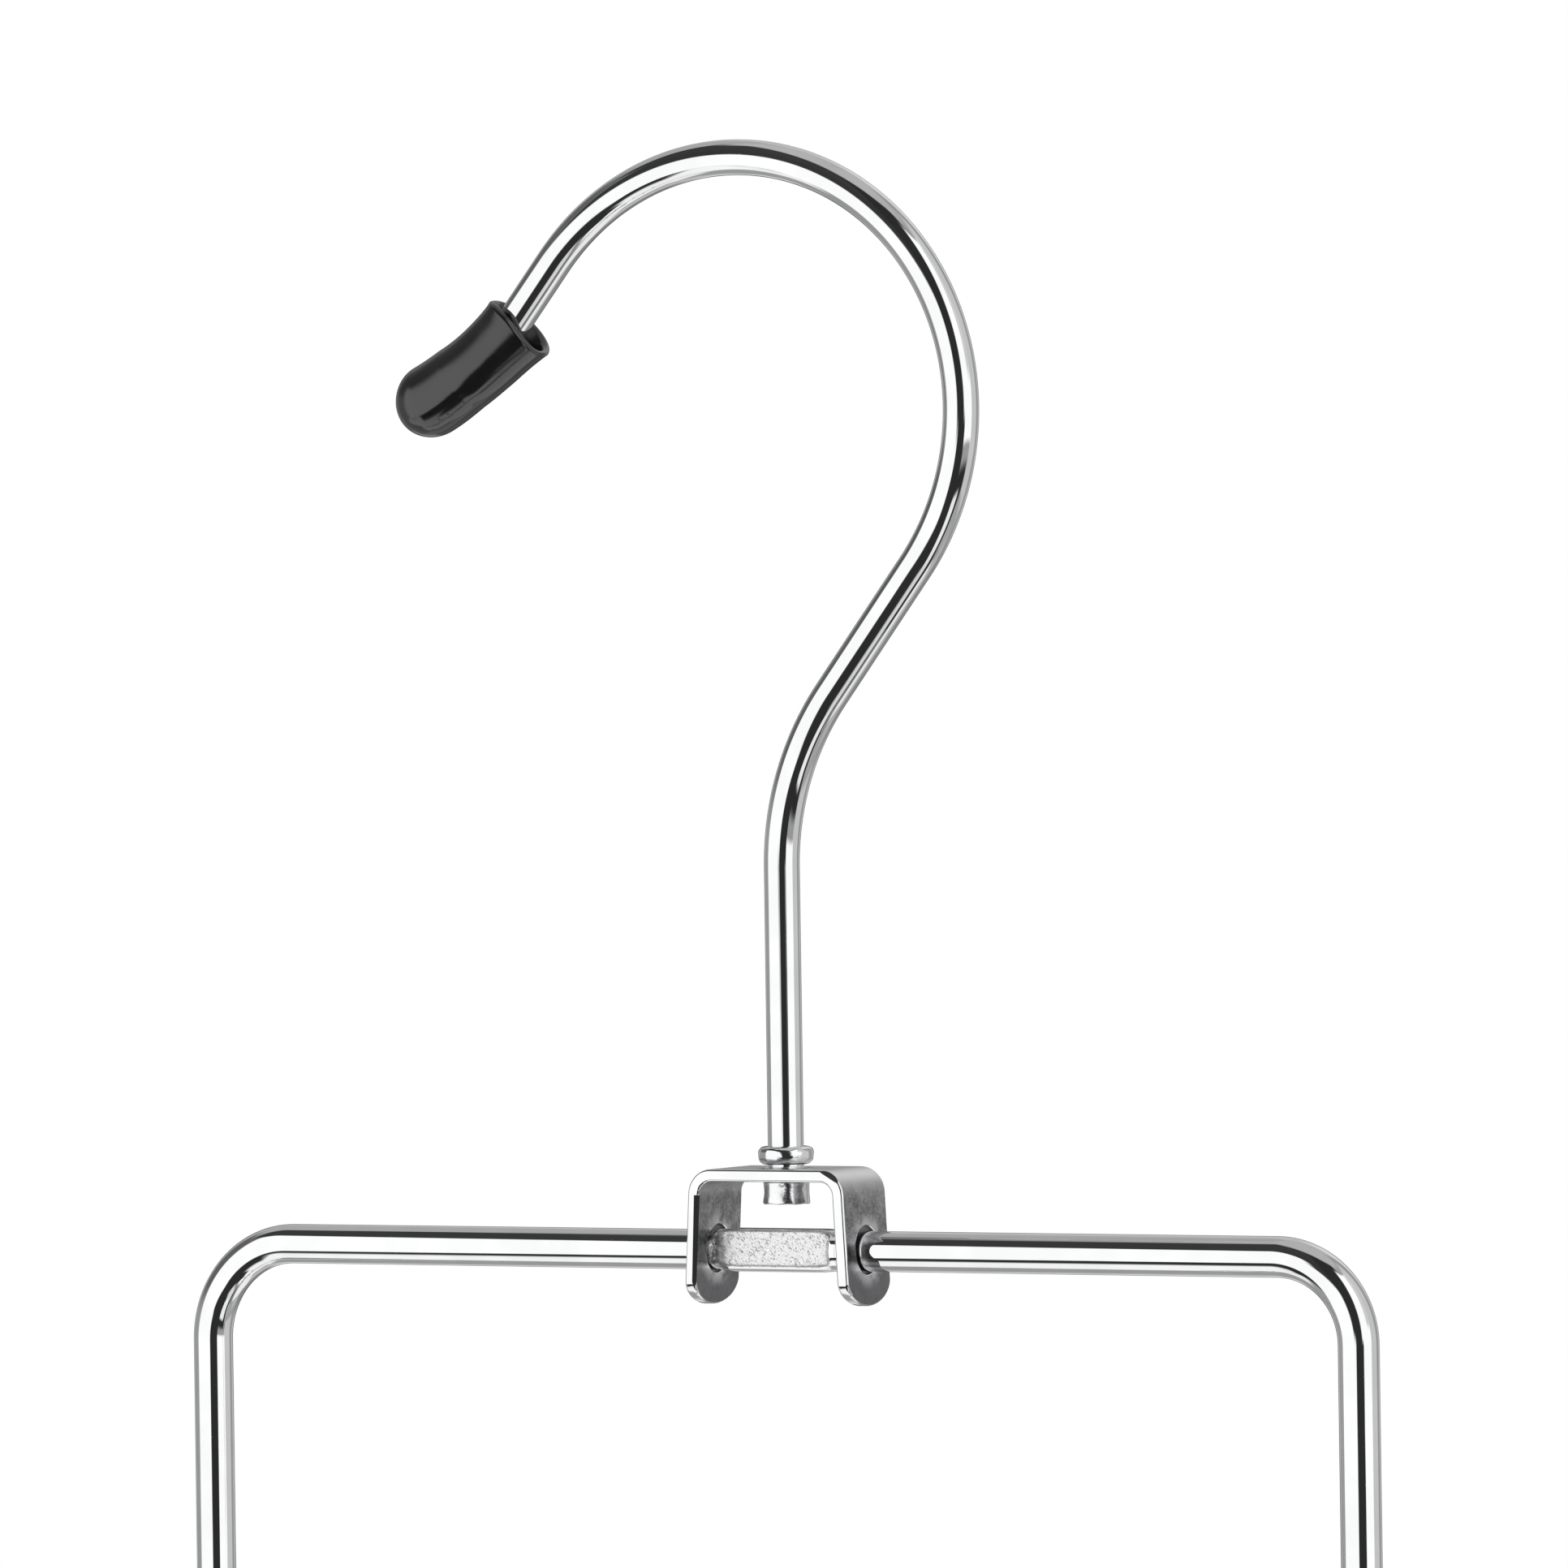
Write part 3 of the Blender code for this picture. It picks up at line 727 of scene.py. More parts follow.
class GeometryTree(NodeGraph):
    """A Geometry Nodes tree with named inputs, ended by Realize Instances and Set Material."""

    KINDS = {
        float: "NodeSocketFloat",
        int: "NodeSocketInt",
        tuple: "NodeSocketVector",
        bpy.types.Material: "NodeSocketMaterial",
    }

    def __init__(self, name: str, sizes: Mapping[str, type]) -> None:
        """Start a tree.

        Args:
            name: The tree's name.
            sizes: The type of each named input.
        """
        super().__init__(bpy.data.node_groups.new(name, "GeometryNodeTree"))
        face = self.tree.interface
        face.new_socket("Geometry", in_out="INPUT", socket_type="NodeSocketGeometry")
        face.new_socket("Geometry", in_out="OUTPUT", socket_type="NodeSocketGeometry")
        self.keys: dict[str, str] = {}
        for label, kind in {**sizes, "Material": bpy.types.Material}.items():
            socket = face.new_socket(label, in_out="INPUT", socket_type=self.KINDS[kind])
            self.keys[label] = socket.identifier
        self.given = self.node("NodeGroupInput")

    def size(self, label: str) -> Signal:
        """One of the tree's named inputs."""
        return self.given.other(label)

    def finish(self, geometry: Signal) -> None:
        """Realize, shade and dress the geometry, and end the tree."""
        real = self.node("GeometryNodeRealizeInstances", None, {0: geometry})
        smooth = self.node("GeometryNodeSetShadeSmooth", None, {0: real})
        inputs = {0: smooth, "Material": self.size("Material")}
        dressed = self.node("GeometryNodeSetMaterial", None, inputs)
        self.node("NodeGroupOutput", None, {0: dressed})

    def apply(self, item: bpy.types.Object, values: Mapping[str, Any]) -> bpy.types.Object:
        """Run the tree on an object and keep the plain mesh.

        Args:
            item: The object.
            values: A value for each named input.

        Returns:
            The same object, with no modifier.
        """
        modifier = item.modifiers.new(self.tree.name, "NODES")
        modifier.node_group = self.tree
        for label, value in values.items():
            modifier[self.keys[label]] = value
        settle(item)
        shade_round(item)
        return item

    def wire(self, line: Signal, diameter: Signal, sides: Signal) -> Signal:
        """Nodes that sweep a round section along a curve and store where each point lies.

        Args:
            line: The curve.
            diameter: The wire's diameter.
            sides: The number of sides.

        Returns:
            The wire's mesh.
        """
        length = self.node("GeometryNodeSplineParameter", None, None, "Length")
        inputs = {"Geometry": line, "Name": LENGTH_ATTRIBUTE, "Value": length}
        marked = self.node("GeometryNodeStoreNamedAttribute", {"data_type": "FLOAT"}, inputs)
        inputs = {"Resolution": sides, "Radius": diameter / 2.0}
        section = self.node("GeometryNodeCurvePrimitiveCircle", {"mode": "RADIUS"}, inputs)
        position = self.node("GeometryNodeInputPosition")
        inputs = {"Geometry": section, "Name": RING_ATTRIBUTE, "Value": position}
        settings = {"data_type": "FLOAT_VECTOR"}
        section = self.node("GeometryNodeStoreNamedAttribute", settings, inputs)
        inputs = {"Name": SCALE_ATTRIBUTE}
        share = self.node("GeometryNodeInputNamedAttribute", {"data_type": "FLOAT"}, inputs)
        inputs = {0: marked, 1: section, "Scale": 1.0 + share, "Fill Caps": True}
        return self.node("GeometryNodeCurveToMesh", None, inputs)


class WireTree(GeometryTree):
    """Sweeps a round wire along the object's own edges."""

    def __init__(self) -> None:
        """Build the tree."""
        super().__init__("round_wire", {"Diameter": float, "Sides": int})
        line = self.node("GeometryNodeMeshToCurve", None, {0: self.given})
        self.finish(self.wire(line, self.size("Diameter"), self.size("Sides")))


class BarTree(GeometryTree):
    """Repeats a straight round bar downwards at an even pitch."""

    def __init__(self) -> None:
        """Build the tree."""
        sizes = {"Diameter": float, "Sides": int, "Count": int, "Pitch": float}
        super().__init__("tie_bar_row", sizes)
        line = self.node("GeometryNodeMeshToCurve", None, {0: self.given})
        bar = self.wire(line, self.size("Diameter"), self.size("Sides"))
        offset = self.vector(0.0, 0.0, 0.0 - self.size("Pitch"))
        inputs = {"Count": self.size("Count"), "Offset": offset}
        row = self.node("GeometryNodeMeshLine", None, inputs)
        self.finish(self.node("GeometryNodeInstanceOnPoints", None, {0: row, "Instance": bar}))


class AlternateTree(GeometryTree):
    """Repeats the object's own mesh along X, turned to the front and the back in turn."""

    def __init__(self) -> None:
        """Build the tree."""
        sizes = {"Count": int, "Pitch": float, "Start": tuple, "Stand off": float}
        super().__init__("alternate_row", sizes)
        offset = self.vector(self.size("Pitch"), 0.0, 0.0)
        inputs = {"Count": self.size("Count"), "Start Location": self.size("Start"), "Offset": offset}
        row = self.node("GeometryNodeMeshLine", None, inputs)
        index = self.node("GeometryNodeInputIndex")
        facing = self.math("MODULO", index, 2.0) * 2.0 - 1.0
        shift = self.vector(0.0, facing * self.size("Stand off"), 0.0)
        row = self.node("GeometryNodeSetPosition", None, {0: row, "Offset": shift})
        turn = self.vector(0.0, 0.0, facing * (math.pi / 2))
        inputs = {0: row, "Instance": self.given, "Rotation": turn}
        self.finish(self.node("GeometryNodeInstanceOnPoints", None, inputs))


class BeadTree(GeometryTree):
    """Sets an uneven weld bead on each of the object's own points."""

    def __init__(self) -> None:
        """Build the tree."""
        sizes = {"Size": tuple, "Unevenness": float, "Seed": int}
        super().__init__("weld_beads", sizes)
        inputs = {"Radius": 1.0, "Subdivisions": 4}
        ball = self.node("GeometryNodeMeshIcoSphere", None, inputs)
        inputs = {0: self.given, "Instance": ball, "Scale": self.size("Size")}
        beads = self.node("GeometryNodeInstanceOnPoints", None, inputs)
        real = self.node("GeometryNodeRealizeInstances", None, {0: beads})
        seed = self.size("Seed") * 7.3
        settings = {"noise_dimensions": "4D"}
        inputs = {"W": seed, "Scale": 900.0, "Detail": 2.0}
        bumps = self.node("ShaderNodeTexNoise", settings, inputs) - 0.5
        normal = self.node("GeometryNodeInputNormal")
        settings = {"operation": "SCALE"}
        inputs = {0: normal, "Scale": bumps * self.size("Unevenness")}
        shift = self.node("ShaderNodeVectorMath", settings, inputs)
        self.finish(self.node("GeometryNodeSetPosition", None, {0: real, "Offset": shift}))


@dataclass(frozen=True)
class Bead:
    """The form of a row of weld beads."""

    size: tuple[float, float, float]
    unevenness: float
    seed: int


class Workshop:
    """The shared Geometry Nodes trees, and the calls that hand a piece to the frame."""

    def __init__(self) -> None:
        """Build the trees."""
        self.wire = WireTree()
        self.bars = BarTree()
        self.alternate = AlternateTree()
        self.beads = BeadTree()

    @staticmethod
    def deliver(
        piece: bpy.types.Object,
        body: Body,
        slot: Slot,
        nodes: Sequence[str],
        material: bpy.types.Material | None = None,
    ) -> None:
        """Let a piece ride on its body and stand for its nodes, and report it.

        Args:
            piece: The finished piece.
            body: The body that it rides on.
            slot: The record's slot for the piece. It is not used.
            nodes: The solids that it stands for.
            material: Its finish, where its mesh has none yet.
        """
        if material is not None:
            piece.data.materials.clear()
            piece.data.materials.append(material)
        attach(piece, body.value)
        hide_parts(*nodes)
        log.info("%s: %d faces, rides on %s", piece.name, len(piece.data.polygons), body.value)

    def weld(
        self,
        name: str,
        points: Sequence[Vector],
        bead: Bead,
        material: bpy.types.Material,
        nodes: Sequence[str],
    ) -> None:
        """Set a weld bead on each of some points, as one piece of the ladder.

        Args:
            name: The piece's name.
            points: The beads' places.
            bead: Their form.
            material: Their finish.
            nodes: The solids that the beads hold.
        """
        work = bmesh.new()
        for point in points:
            work.verts.new(point)
        beads = link_mesh(name, work)
        values = {"Size": bead.size, "Unevenness": bead.unevenness, "Seed": bead.seed}
        self.beads.apply(beads, {**values, "Material": material})
        self.deliver(beads, Body.LADDER, Slot.CHROME, nodes)


@dataclass(frozen=True)
class Plan:
    """Sizes and places that several sub-assemblies share."""

    hook_offset: float = 0.00557
    hook_drop: float = 0.1107
    sheet: float = 0.0014
    gap: float = 0.0003
    frame_wire: float = 0.0045
    frame_width: float = 0.1446
    corner_radius: float = 0.0105
    ear_hole: float = 0.0054
    ear_hole_drop: float = 0.00905
    bracket_width: float = 0.0195
    bracket_bend_radius: float = 0.0029
    ear_splay: float = 3.0
    block_length: float = 0.0139
    block_height: float = 0.0048
    block_offset: float = 0.0015
    tie_bar_count: int = 4
    tie_bar_first_drop: float = 0.046
    tie_bar_pitch: float = 0.042
    belt_rail_drop: float = 0.050

    @property
    def web_top(self) -> float:
        """The height of the bracket's top face."""
        return -self.hook_drop

    @property
    def pivot_drop(self) -> float:
        """How far the frame's axis lies below the bracket's top face."""
        return self.ear_hole_drop + (self.ear_hole - self.frame_wire) / 2 - self.gap

    @property
    def pivot_z(self) -> float:
        """The height of the frame's axis."""
        return self.web_top - self.pivot_drop

    @property
    def block_x(self) -> float:
        """The middle of the pressed block, along X."""
        slope = math.tan(math.radians(self.ear_splay))
        outer = self.bracket_width / 2 + (self.pivot_drop - self.bracket_bend_radius) * slope
        inner = outer - self.sheet / math.cos(math.radians(self.ear_splay))
        left_play = self.block_height / 2 * slope + self.gap
        return self.hook_offset + left_play + self.block_length / 2 - inner

    @property
    def frame_x(self) -> float:
        """The middle of the frame, along X."""
        return self.block_x - self.block_offset

    @property
    def frame_height(self) -> float:
        """The frame's height between the middles of its wire."""
        bars = (self.tie_bar_count - 1) * self.tie_bar_pitch
        return self.tie_bar_first_drop + bars + self.belt_rail_drop


@dataclass
class SwivelHook:
    """The round hook, with the collar and the rivet head upset from its own wire."""

    plan: Plan
    shop: Workshop
    wire: float = 0.0040
    radius: float = 0.02873
    shank_bend_radius: float = 0.03123
    shank_bend: float = 37.6
    tip_slope: float = 38.8
    tip_straight: float = 0.0076
    tip_bend_radius: float = 0.034
    tip_bend: float = 25.8
    neck_in_head: float = 0.00077
    wire_sides: int = 64
    bend_step: float = 1.5
    collar_radius: float = 0.0031
    collar_height: float = 0.0020
    collar_gap: float = 0.0004
    collar_crown: float = 0.75 * MM
    collar_under: float = 0.85 * MM
    collar_inset: float = 0.15 * MM
    collar_fillet: float = 0.12 * MM
    collar_dip: float = 0.02 * MM
    collar_chamfer: float = 0.1 * MM
    collar_ease: float = 0.5 * MM
    rim_wave: Ripple = Ripple(750.0, 0.10 * MM, 3.0)
    rim_grain: Ripple = Ripple(1900.0, 0.035 * MM, 5.0)
    rim_rise: Ripple = Ripple(900.0, 0.07 * MM, 9.0)
    head_radius: float = 0.00258
    head_flare: float = 0.00004
    head_height: float = 0.0023
    head_gap: float = 0.0001
    head_edge: float = 0.16 * MM
    head_side: float = 1.9 * MM
    head_hollow: float = 0.05 * MM
    head_steps: int = 8
    cup_radius: float = 0.0017
    cup_depth: float = 0.0011
    cup_steps: int = 8
    scallops: int = 7
    scallop_height: float = 0.04 * MM
    dents: int = 5
    dent_depth: float = 0.07 * MM
    head_wave: Ripple = Ripple(800.0, 0.07 * MM, 21.0)
    head_rise: Ripple = Ripple(700.0, 0.04 * MM, 31.0)
    turned_sides: int = 120

    def path(self) -> WirePath:
        """The middle line of the wire, from inside the rivet head to the tip."""
        plan = self.plan
        lean = math.radians(self.shank_bend)
        reach = self.radius * math.cos(lean) - plan.hook_offset
        shank_reach = self.shank_bend_radius * (1 - math.cos(lean))
        slant = (reach - shank_reach) / math.sin(lean)
        rise = (self.shank_bend_radius + self.radius) * math.sin(lean) + slant * math.cos(lean)
        start_z = plan.web_top - plan.sheet - plan.gap - self.neck_in_head
        line = WirePath((plan.hook_offset, 0.0, start_z), 90.0, self.bend_step)
        line.run(self.wire / 2 - self.radius - rise - start_z)
        line.bend(self.shank_bend_radius, -self.shank_bend).run(slant)
        line.bend(self.radius, 180.0 - self.tip_slope + self.shank_bend)
        return line.run(self.tip_straight).bend(self.tip_bend_radius, -self.tip_bend)

    @cached_property
    def tip(self) -> tuple[Vector, float]:
        """The end of the wire's middle line, and the heading there."""
        line = self.path()
        return line.points[-1], line.headings[-1]

    def build_wire(self, finish: PolishedChrome) -> None:
        """Sweep the hook's wire."""
        item = path_object("hook_round_wire", self.path().points)
        values = {"Diameter": self.wire, "Sides": self.wire_sides, "Material": finish.material()}
        self.shop.wire.apply(item, values)
        self.shop.deliver(item, Body.HOOK, Slot.CHROME, ["hook_wire"])

    def build_collar(self, finish: PolishedChrome) -> None:
        """Turn the collar, with the uneven rim that upsetting leaves."""
        bottom = self.plan.web_top + self.collar_gap
        top = bottom + self.collar_height
        outer, bore = self.collar_radius, self.wire / 2
        inside = bore - self.collar_inset
        crown, under, chamfer = self.collar_crown, self.collar_under, self.collar_chamfer
        profile = [(inside, top - self.collar_fillet), (bore + self.collar_fillet, top - self.collar_dip)]
        profile += arc((outer - crown, top - crown), (crown, crown), (82.0, 8.0), 12)
        profile += arc((outer - under, bottom + under), (under, under), (-8.0, -82.0), 12)
        profile += [(bore + chamfer, bottom), (inside, bottom + chamfer)]

        def place(radius: float, angle: float, height: float) -> Vector:
            """The point of the collar, uneven towards its rim."""
            point = Vector((radius * math.cos(angle), radius * math.sin(angle), height))
            share = min(1.0, max(0.0, (radius - bore) / self.collar_ease))
            wave = self.rim_wave.at(point) + self.rim_grain.at(point)
            point.xy *= 1.0 + wave * share / outer
            point.z += self.rim_rise.at(point) * share
            return point + Vector((self.plan.hook_offset, 0.0, 0.0))

        item = lofted("hook_collar", lathe_rings(profile, self.turned_sides, place), 60.0, closed=True)
        self.shop.deliver(item, Body.HOOK, Slot.CHROME, ["hook_wire"], finish.material())

    def build_head(self, finish: PolishedChrome) -> None:
        """Turn the rivet head, with its cup and the dents of the closing tool."""
        plan = self.plan
        top = plan.web_top - plan.sheet - self.head_gap
        bottom = plan.web_top - plan.sheet - plan.gap - self.head_height
        wide = self.head_radius + self.head_flare
        edge = self.head_edge
        profile = [(0.0, top), (self.head_radius - edge, top)]
        profile += arc((self.head_radius - edge, top - edge), (edge, edge), (75.0, 0.0), 4)
        for step in range(1, self.head_steps):
            share = step / self.head_steps
            radius = self.head_radius + self.head_flare * share
            radius -= self.head_hollow * math.sin(math.pi * share)
            profile.append((radius, top - edge - share * self.head_side))
        profile += arc((wide - edge, bottom + edge), (edge, edge), (0.0, -90.0), 5)
        for step in range(1, self.cup_steps + 1):
            share = 1.0 - step / self.cup_steps
            profile.append((self.cup_radius * share, bottom + self.cup_depth * (1.0 - share**2)))

        def place(radius: float, angle: float, height: float) -> Vector:
            """The point of the head, dented and scalloped towards its lower rim."""
            point = Vector((radius * math.cos(angle), radius * math.sin(angle), height))
            low = min(1.0, max(0.0, (top - height) / self.head_height))
            rim = min(1.0, radius / self.head_radius)
            scallop = self.scallop_height * math.cos(self.scallops * angle + 0.9) * low**3 * rim**4
            dent = self.dent_depth * max(0.0, math.cos(self.dents * angle + 0.4))
            dent *= math.sin(math.pi * low) * rim**4
            wave = self.head_wave.at(point) * low * rim
            point.xy *= 1.0 - (dent - wave) / self.head_radius
            point.z += scallop + self.head_rise.at(point) * low
            return point + Vector((plan.hook_offset, 0.0, 0.0))

        item = lofted("hook_rivet_head", lathe_rings(profile, self.turned_sides, place), 60.0)
        self.shop.deliver(item, Body.HOOK, Slot.CHROME, ["hook_wire"], finish.material())


@dataclass
class TipCap:
    """The soft cap pushed over the hook's tip. It droops at its wide, flared mouth."""

    plan: Plan
    shop: Workshop
    hook: SwivelHook
    length: float = 0.0178
    end_wall: float = 0.0034
    mouth_diameter: float = 0.0087
    mouth_wall: float = 0.0010
    lip: float = 0.0005
    waist_diameter: float = 0.0081
    waist_place: float = 0.0060
    body_diameter: float = 0.0084
    dome: float = 0.0044
    sag: float = 0.0007
    sag_length: float = 0.0090
    upper_reach: float = 0.0009
    front_reach: float = 0.0011
    lean: float = 0.0011
    view_azimuth: float = 28.0
    flare: float = 0.00035
    flare_length: float = 0.0040
    flare_middle: float = 0.35
    flare_below: float = 0.65
    sides: int = 96
    rings: int = 70
    dome_rings: int = 26
    bore_rings: int = 24
    lip_steps: int = 12
    wave: Ripple = Ripple(260.0, 0.03 * MM, 2.0)
    bubbles: tuple[tuple[float, float], ...] = ((0.0092, -37.0), (0.0114, -38.0), (0.0125, -39.0))
    dull: float = 0.14
    dull_span: tuple[float, float] = (-0.0018, -0.0002)

    def frame_at(self, distance: float) -> tuple[Vector, float]:
        """The middle line's point and heading at a distance from the mouth."""
        tip, heading = self.hook.tip
        radius = self.hook.tip_bend_radius
        covered = self.length - self.end_wall - self.plan.gap
        here = heading + math.degrees((covered - distance) / radius)
        centre = tip - left_of(heading) * radius
        droop = self.sag * max(0.0, 1.0 - max(0.0, distance) / self.sag_length)
        return centre + left_of(here) * (radius + droop), here

    def outer_radius(self, distance: float) -> float:
        """The cap's outer radius at a distance from its mouth, without the lip's round."""
        if distance <= self.waist_place:
            share = 1.0 - distance / self.waist_place
            extra = (self.mouth_diameter - self.waist_diameter) * share**2
            return (self.waist_diameter + extra) / 2
        dome_start = self.length - self.dome
        if distance <= dome_start:
            share = (distance - self.waist_place) / (dome_start - self.waist_place)
            swell = (1.0 - math.cos(math.pi * share)) / 2
            extra = (self.body_diameter - self.waist_diameter) * swell
            return (self.waist_diameter + extra) / 2
        share = (distance - dome_start) / self.dome
        return self.body_diameter / 2 * math.sqrt(max(0.0, 1.0 - share**2))

    def profile(self) -> list[tuple[float, float]]:
        """(radius, distance from the mouth) pairs, from the pole over the lip to the bore's end."""
        start = self.length - self.dome
        points = []
        for step in range(self.dome_rings + 1):
            distance = start + self.dome * math.cos(math.pi / 2 * step / self.dome_rings)
            points.append((self.outer_radius(distance), distance))
        for step in range(1, self.rings + 1):
            distance = start + (self.lip - start) * step / self.rings
            points.append((self.outer_radius(distance), distance))
        wall = self.mouth_wall / 2
        mouth = self.outer_radius(0.0) - wall
        points += arc((mouth, self.lip), (wall, self.lip), (0.0, -180.0), self.lip_steps)[1:]
        tight = self.hook.wire / 2 + self.plan.gap
        wide = self.mouth_diameter / 2 - self.mouth_wall
        for step in range(1, self.bore_rings + 1):
            distance = self.lip + (self.sag_length - self.lip) * step / self.bore_rings
            points.append((tight + (wide - tight) * (1.0 - distance / self.sag_length), distance))
        end = self.length - self.end_wall
        return points + [(tight, end - tight / 2), (tight * 0.7, end - tight / 8), (0.0, end)]

    def build(self, finish: GlossVinyl) -> None:
        """Loft the cap along its bent middle line. Its loose mouth leans back from the wire."""
        front, _ = level_axes(self.view_azimuth)

        def place(radius: float, angle: float, distance: float) -> Vector:
            """The point of the cap, reaching up and forwards at its mouth."""
            near = max(0.0, 1.0 - distance / self.sag_length) ** 2
            lip = max(0.0, 1.0 - distance / self.flare_length) ** 2
            up = -math.cos(angle)
            _, heading = self.frame_at(distance)
            reach = self.upper_reach * (0.5 + 0.5 * up)
            reach += self.front_reach * max(0.0, -math.sin(angle)) ** 2
            centre, _ = self.frame_at(distance - reach * near)
            centre = centre - front * self.lean * near
            if radius > self.hook.wire / 2 + self.plan.gap:
                radius += self.flare * lip * (self.flare_middle - self.flare_below * up)
            arm = left_of(heading) * math.cos(angle) + Vector((0.0, math.sin(angle), 0.0))
            point = centre + arm * radius
            return point + arm * (self.wave.at(point) if radius > 0 else 0.0)

        item = lofted("hook_vinyl_cap", lathe_rings(self.profile(), self.sides, place), 75.0)
        self.shop.deliver(item, Body.HOOK, Slot.VINYL, ["hook_tip_cap"], finish.material())

    def bubble_places(self) -> tuple[tuple[float, float, float], ...]:
        """The small bubbles in a row along the lower front side, towards the tip."""
        places = []
        for distance, degrees in self.bubbles:
            angle = math.radians(degrees)
            centre, heading = self.frame_at(distance)
            arm = left_of(heading) * math.cos(angle) + Vector((0.0, math.sin(angle), 0.0))
            places.append(tuple(centre + arm * self.outer_radius(distance)))
        return tuple(places)

    def finish(self) -> GlossVinyl:
        """The cap's vinyl, with its bubbles, duller on the side that faces away from the hook."""
        centre, heading = self.frame_at(self.length / 2)
        away = -left_of(heading)
        low, high = (centre.dot(away) + offset for offset in self.dull_span)
        return GlossVinyl("vinyl_tip_cap", self.bubble_places(), tuple(away), (low, high), self.dull)


@dataclass
class SwivelBracket:
    """The U-shaped bracket, bent from sheet, with two ears for the frame's bar."""

    plan: Plan
    shop: Workshop
    depth: float = 0.0104
    height: float = 0.01525
    ear_end_height: float = 0.0029
    web_hole: float = 0.0048
    edge: float = 0.00034
    edge_segments: int = 6
    edge_angle: float = 50.0
    hole_share: float = 0.65
    drill: float = 0.006
    long_drill: float = 0.04
    burr_width: float = 0.0004
    burr_height: float = 0.0005
    burr_root: float = 0.3 * MM
    burr_round: float = 0.1 * MM
    burr_wave: Ripple = Ripple(900.0, 0.05 * MM, 41.0)
    shear_across: float = 0.0010
    shear_length: float = 0.0140
    shear_depth: float = 0.0007
    shear_slant: float = 30.0
    ear_shear: float = 0.00048
    ear_shear_taper: float = 0.75
    ear_shear_lead: float = 0.1 * MM
    bend_shear: float = 0.00055
    bend_shear_place: float = 60.0
    bend_shear_lead: float = 0.05 * MM
    wall_reach: float = 0.02 * MM
    bend_steps: int = 20
    ear_end_steps: int = 48
    hole_sides: int = 96
    spare: float = 0.001
    sliver: float = 0.004 * MM
    smooth_angle: float = 19.0
    flat_weight: int = 80

    def outline(self) -> list[Vector]:
        """The outer line seen from the front, from the left ear's end to the right one's."""
        plan = self.plan
        turn = 90.0 - plan.ear_splay
        radius = plan.bracket_bend_radius
        line = WirePath((plan.bracket_width / 2 - radius, 0.0, 0.0), 0.0, turn / self.bend_steps)
        right = line.bend(radius, -turn).run(self.height + self.spare - radius).points
        left = [Vector((-point.x, 0.0, point.z)) for point in reversed(right)]
        origin = Vector((plan.hook_offset, 0.0, plan.web_top))
        return [point + origin for point in left + right]

    def cutter(self, name: str, rings: Sequence[Sequence[Vector]]) -> bpy.types.Object:
        """A closed prism between two rings of points."""
        work = bmesh.new()
        made = loft(work, rings)
        work.faces.new(made[0])
        work.faces.new(made[-1])
        bmesh.ops.recalc_face_normals(work, faces=work.faces)
        return link_mesh(name, work)

    def ear_form(self) -> bpy.types.Object:
        """The prism whose outline, seen from the side, trims the sheet to its round ears."""
        plan = self.plan
        side = self.depth / 2 + HAIR * 2
        shoulder = plan.web_top - self.height + self.ear_end_height
        corners = [(side, plan.web_top + self.spare), (-side, plan.web_top + self.spare)]
        radii = (side, self.ear_end_height)
        corners += arc((0.0, shoulder), radii, (180.0, 360.0), self.ear_end_steps)
        ends = (plan.hook_offset - plan.bracket_width, plan.hook_offset + plan.bracket_width)
        return self.cutter("ear_form", [[Vector((x, y, z)) for y, z in corners] for x in ends])

    def hole_form(
        self, name: str, centre: Vector, axis: Vector, radius: float, length: float
    ) -> bpy.types.Object:
        """A round prism.

        Args:
            name: Its name.
            centre: Its middle.
            axis: Its direction.
            radius: Its radius.
            length: Its length.

        Returns:
            The prism.
        """
        turn = axis.to_track_quat("Z", "Y").to_matrix()
        circle = arc((0.0, 0.0), (radius, radius), (0.0, 360.0), self.hole_sides)[:-1]
        ends = (-length / 2, length / 2)
        return self.cutter(name, [[centre + turn @ Vector((x, y, end)) for x, y in circle] for end in ends])

    def corner_form(self, name: str, point: Vector, facing: Vector, along: Vector) -> bpy.types.Object:
        """A box that takes a flat off the sheet's front corner.

        Args:
            name: Its name.
            point: The middle of the flat.
            facing: The direction that the flat faces.
            along: The direction of the flat's length.

        Returns:
            The box.
        """
        across = facing.cross(along).normalized() * (self.shear_across / 2)
        outwards = facing.normalized() * self.shear_depth
        rings = []
        for end in (-self.shear_length / 2, self.shear_length / 2):
            middle = point + along * end
            ring = [middle - across, middle + across]
            rings.append(ring + [middle + across + outwards, middle - across + outwards])
        return self.cutter(name, rings)

    def sheared_corners(self) -> list[bpy.types.Object]:
        """The boxes that shear the left ear's inner corner and the right bend's outer one."""
        plan = self.plan
        radius = plan.bracket_bend_radius
        splay, slant = math.radians(plan.ear_splay), math.radians(self.shear_slant)
        lean = splay - math.radians(self.ear_shear_taper)
        down = Vector((-math.sin(lean), 0.0, -math.cos(lean)))
        outer = plan.bracket_width / 2 + self.shear_length / 2 * math.tan(splay)
        inner = plan.hook_offset - outer + plan.sheet / math.cos(splay)
        start_z = plan.web_top - radius - self.shear_length / 2
        start = Vector((inner - self.ear_shear, -self.depth / 2, start_z))
        facing = Vector((math.sin(slant), -math.cos(slant), 0.0))
        tangent = Vector((math.cos(slant), math.sin(slant), 0.0))
        middle = start + tangent * (self.shear_across / 2 - self.ear_shear_lead)
        ear = self.corner_form("ear_shear_form", middle, facing, down)

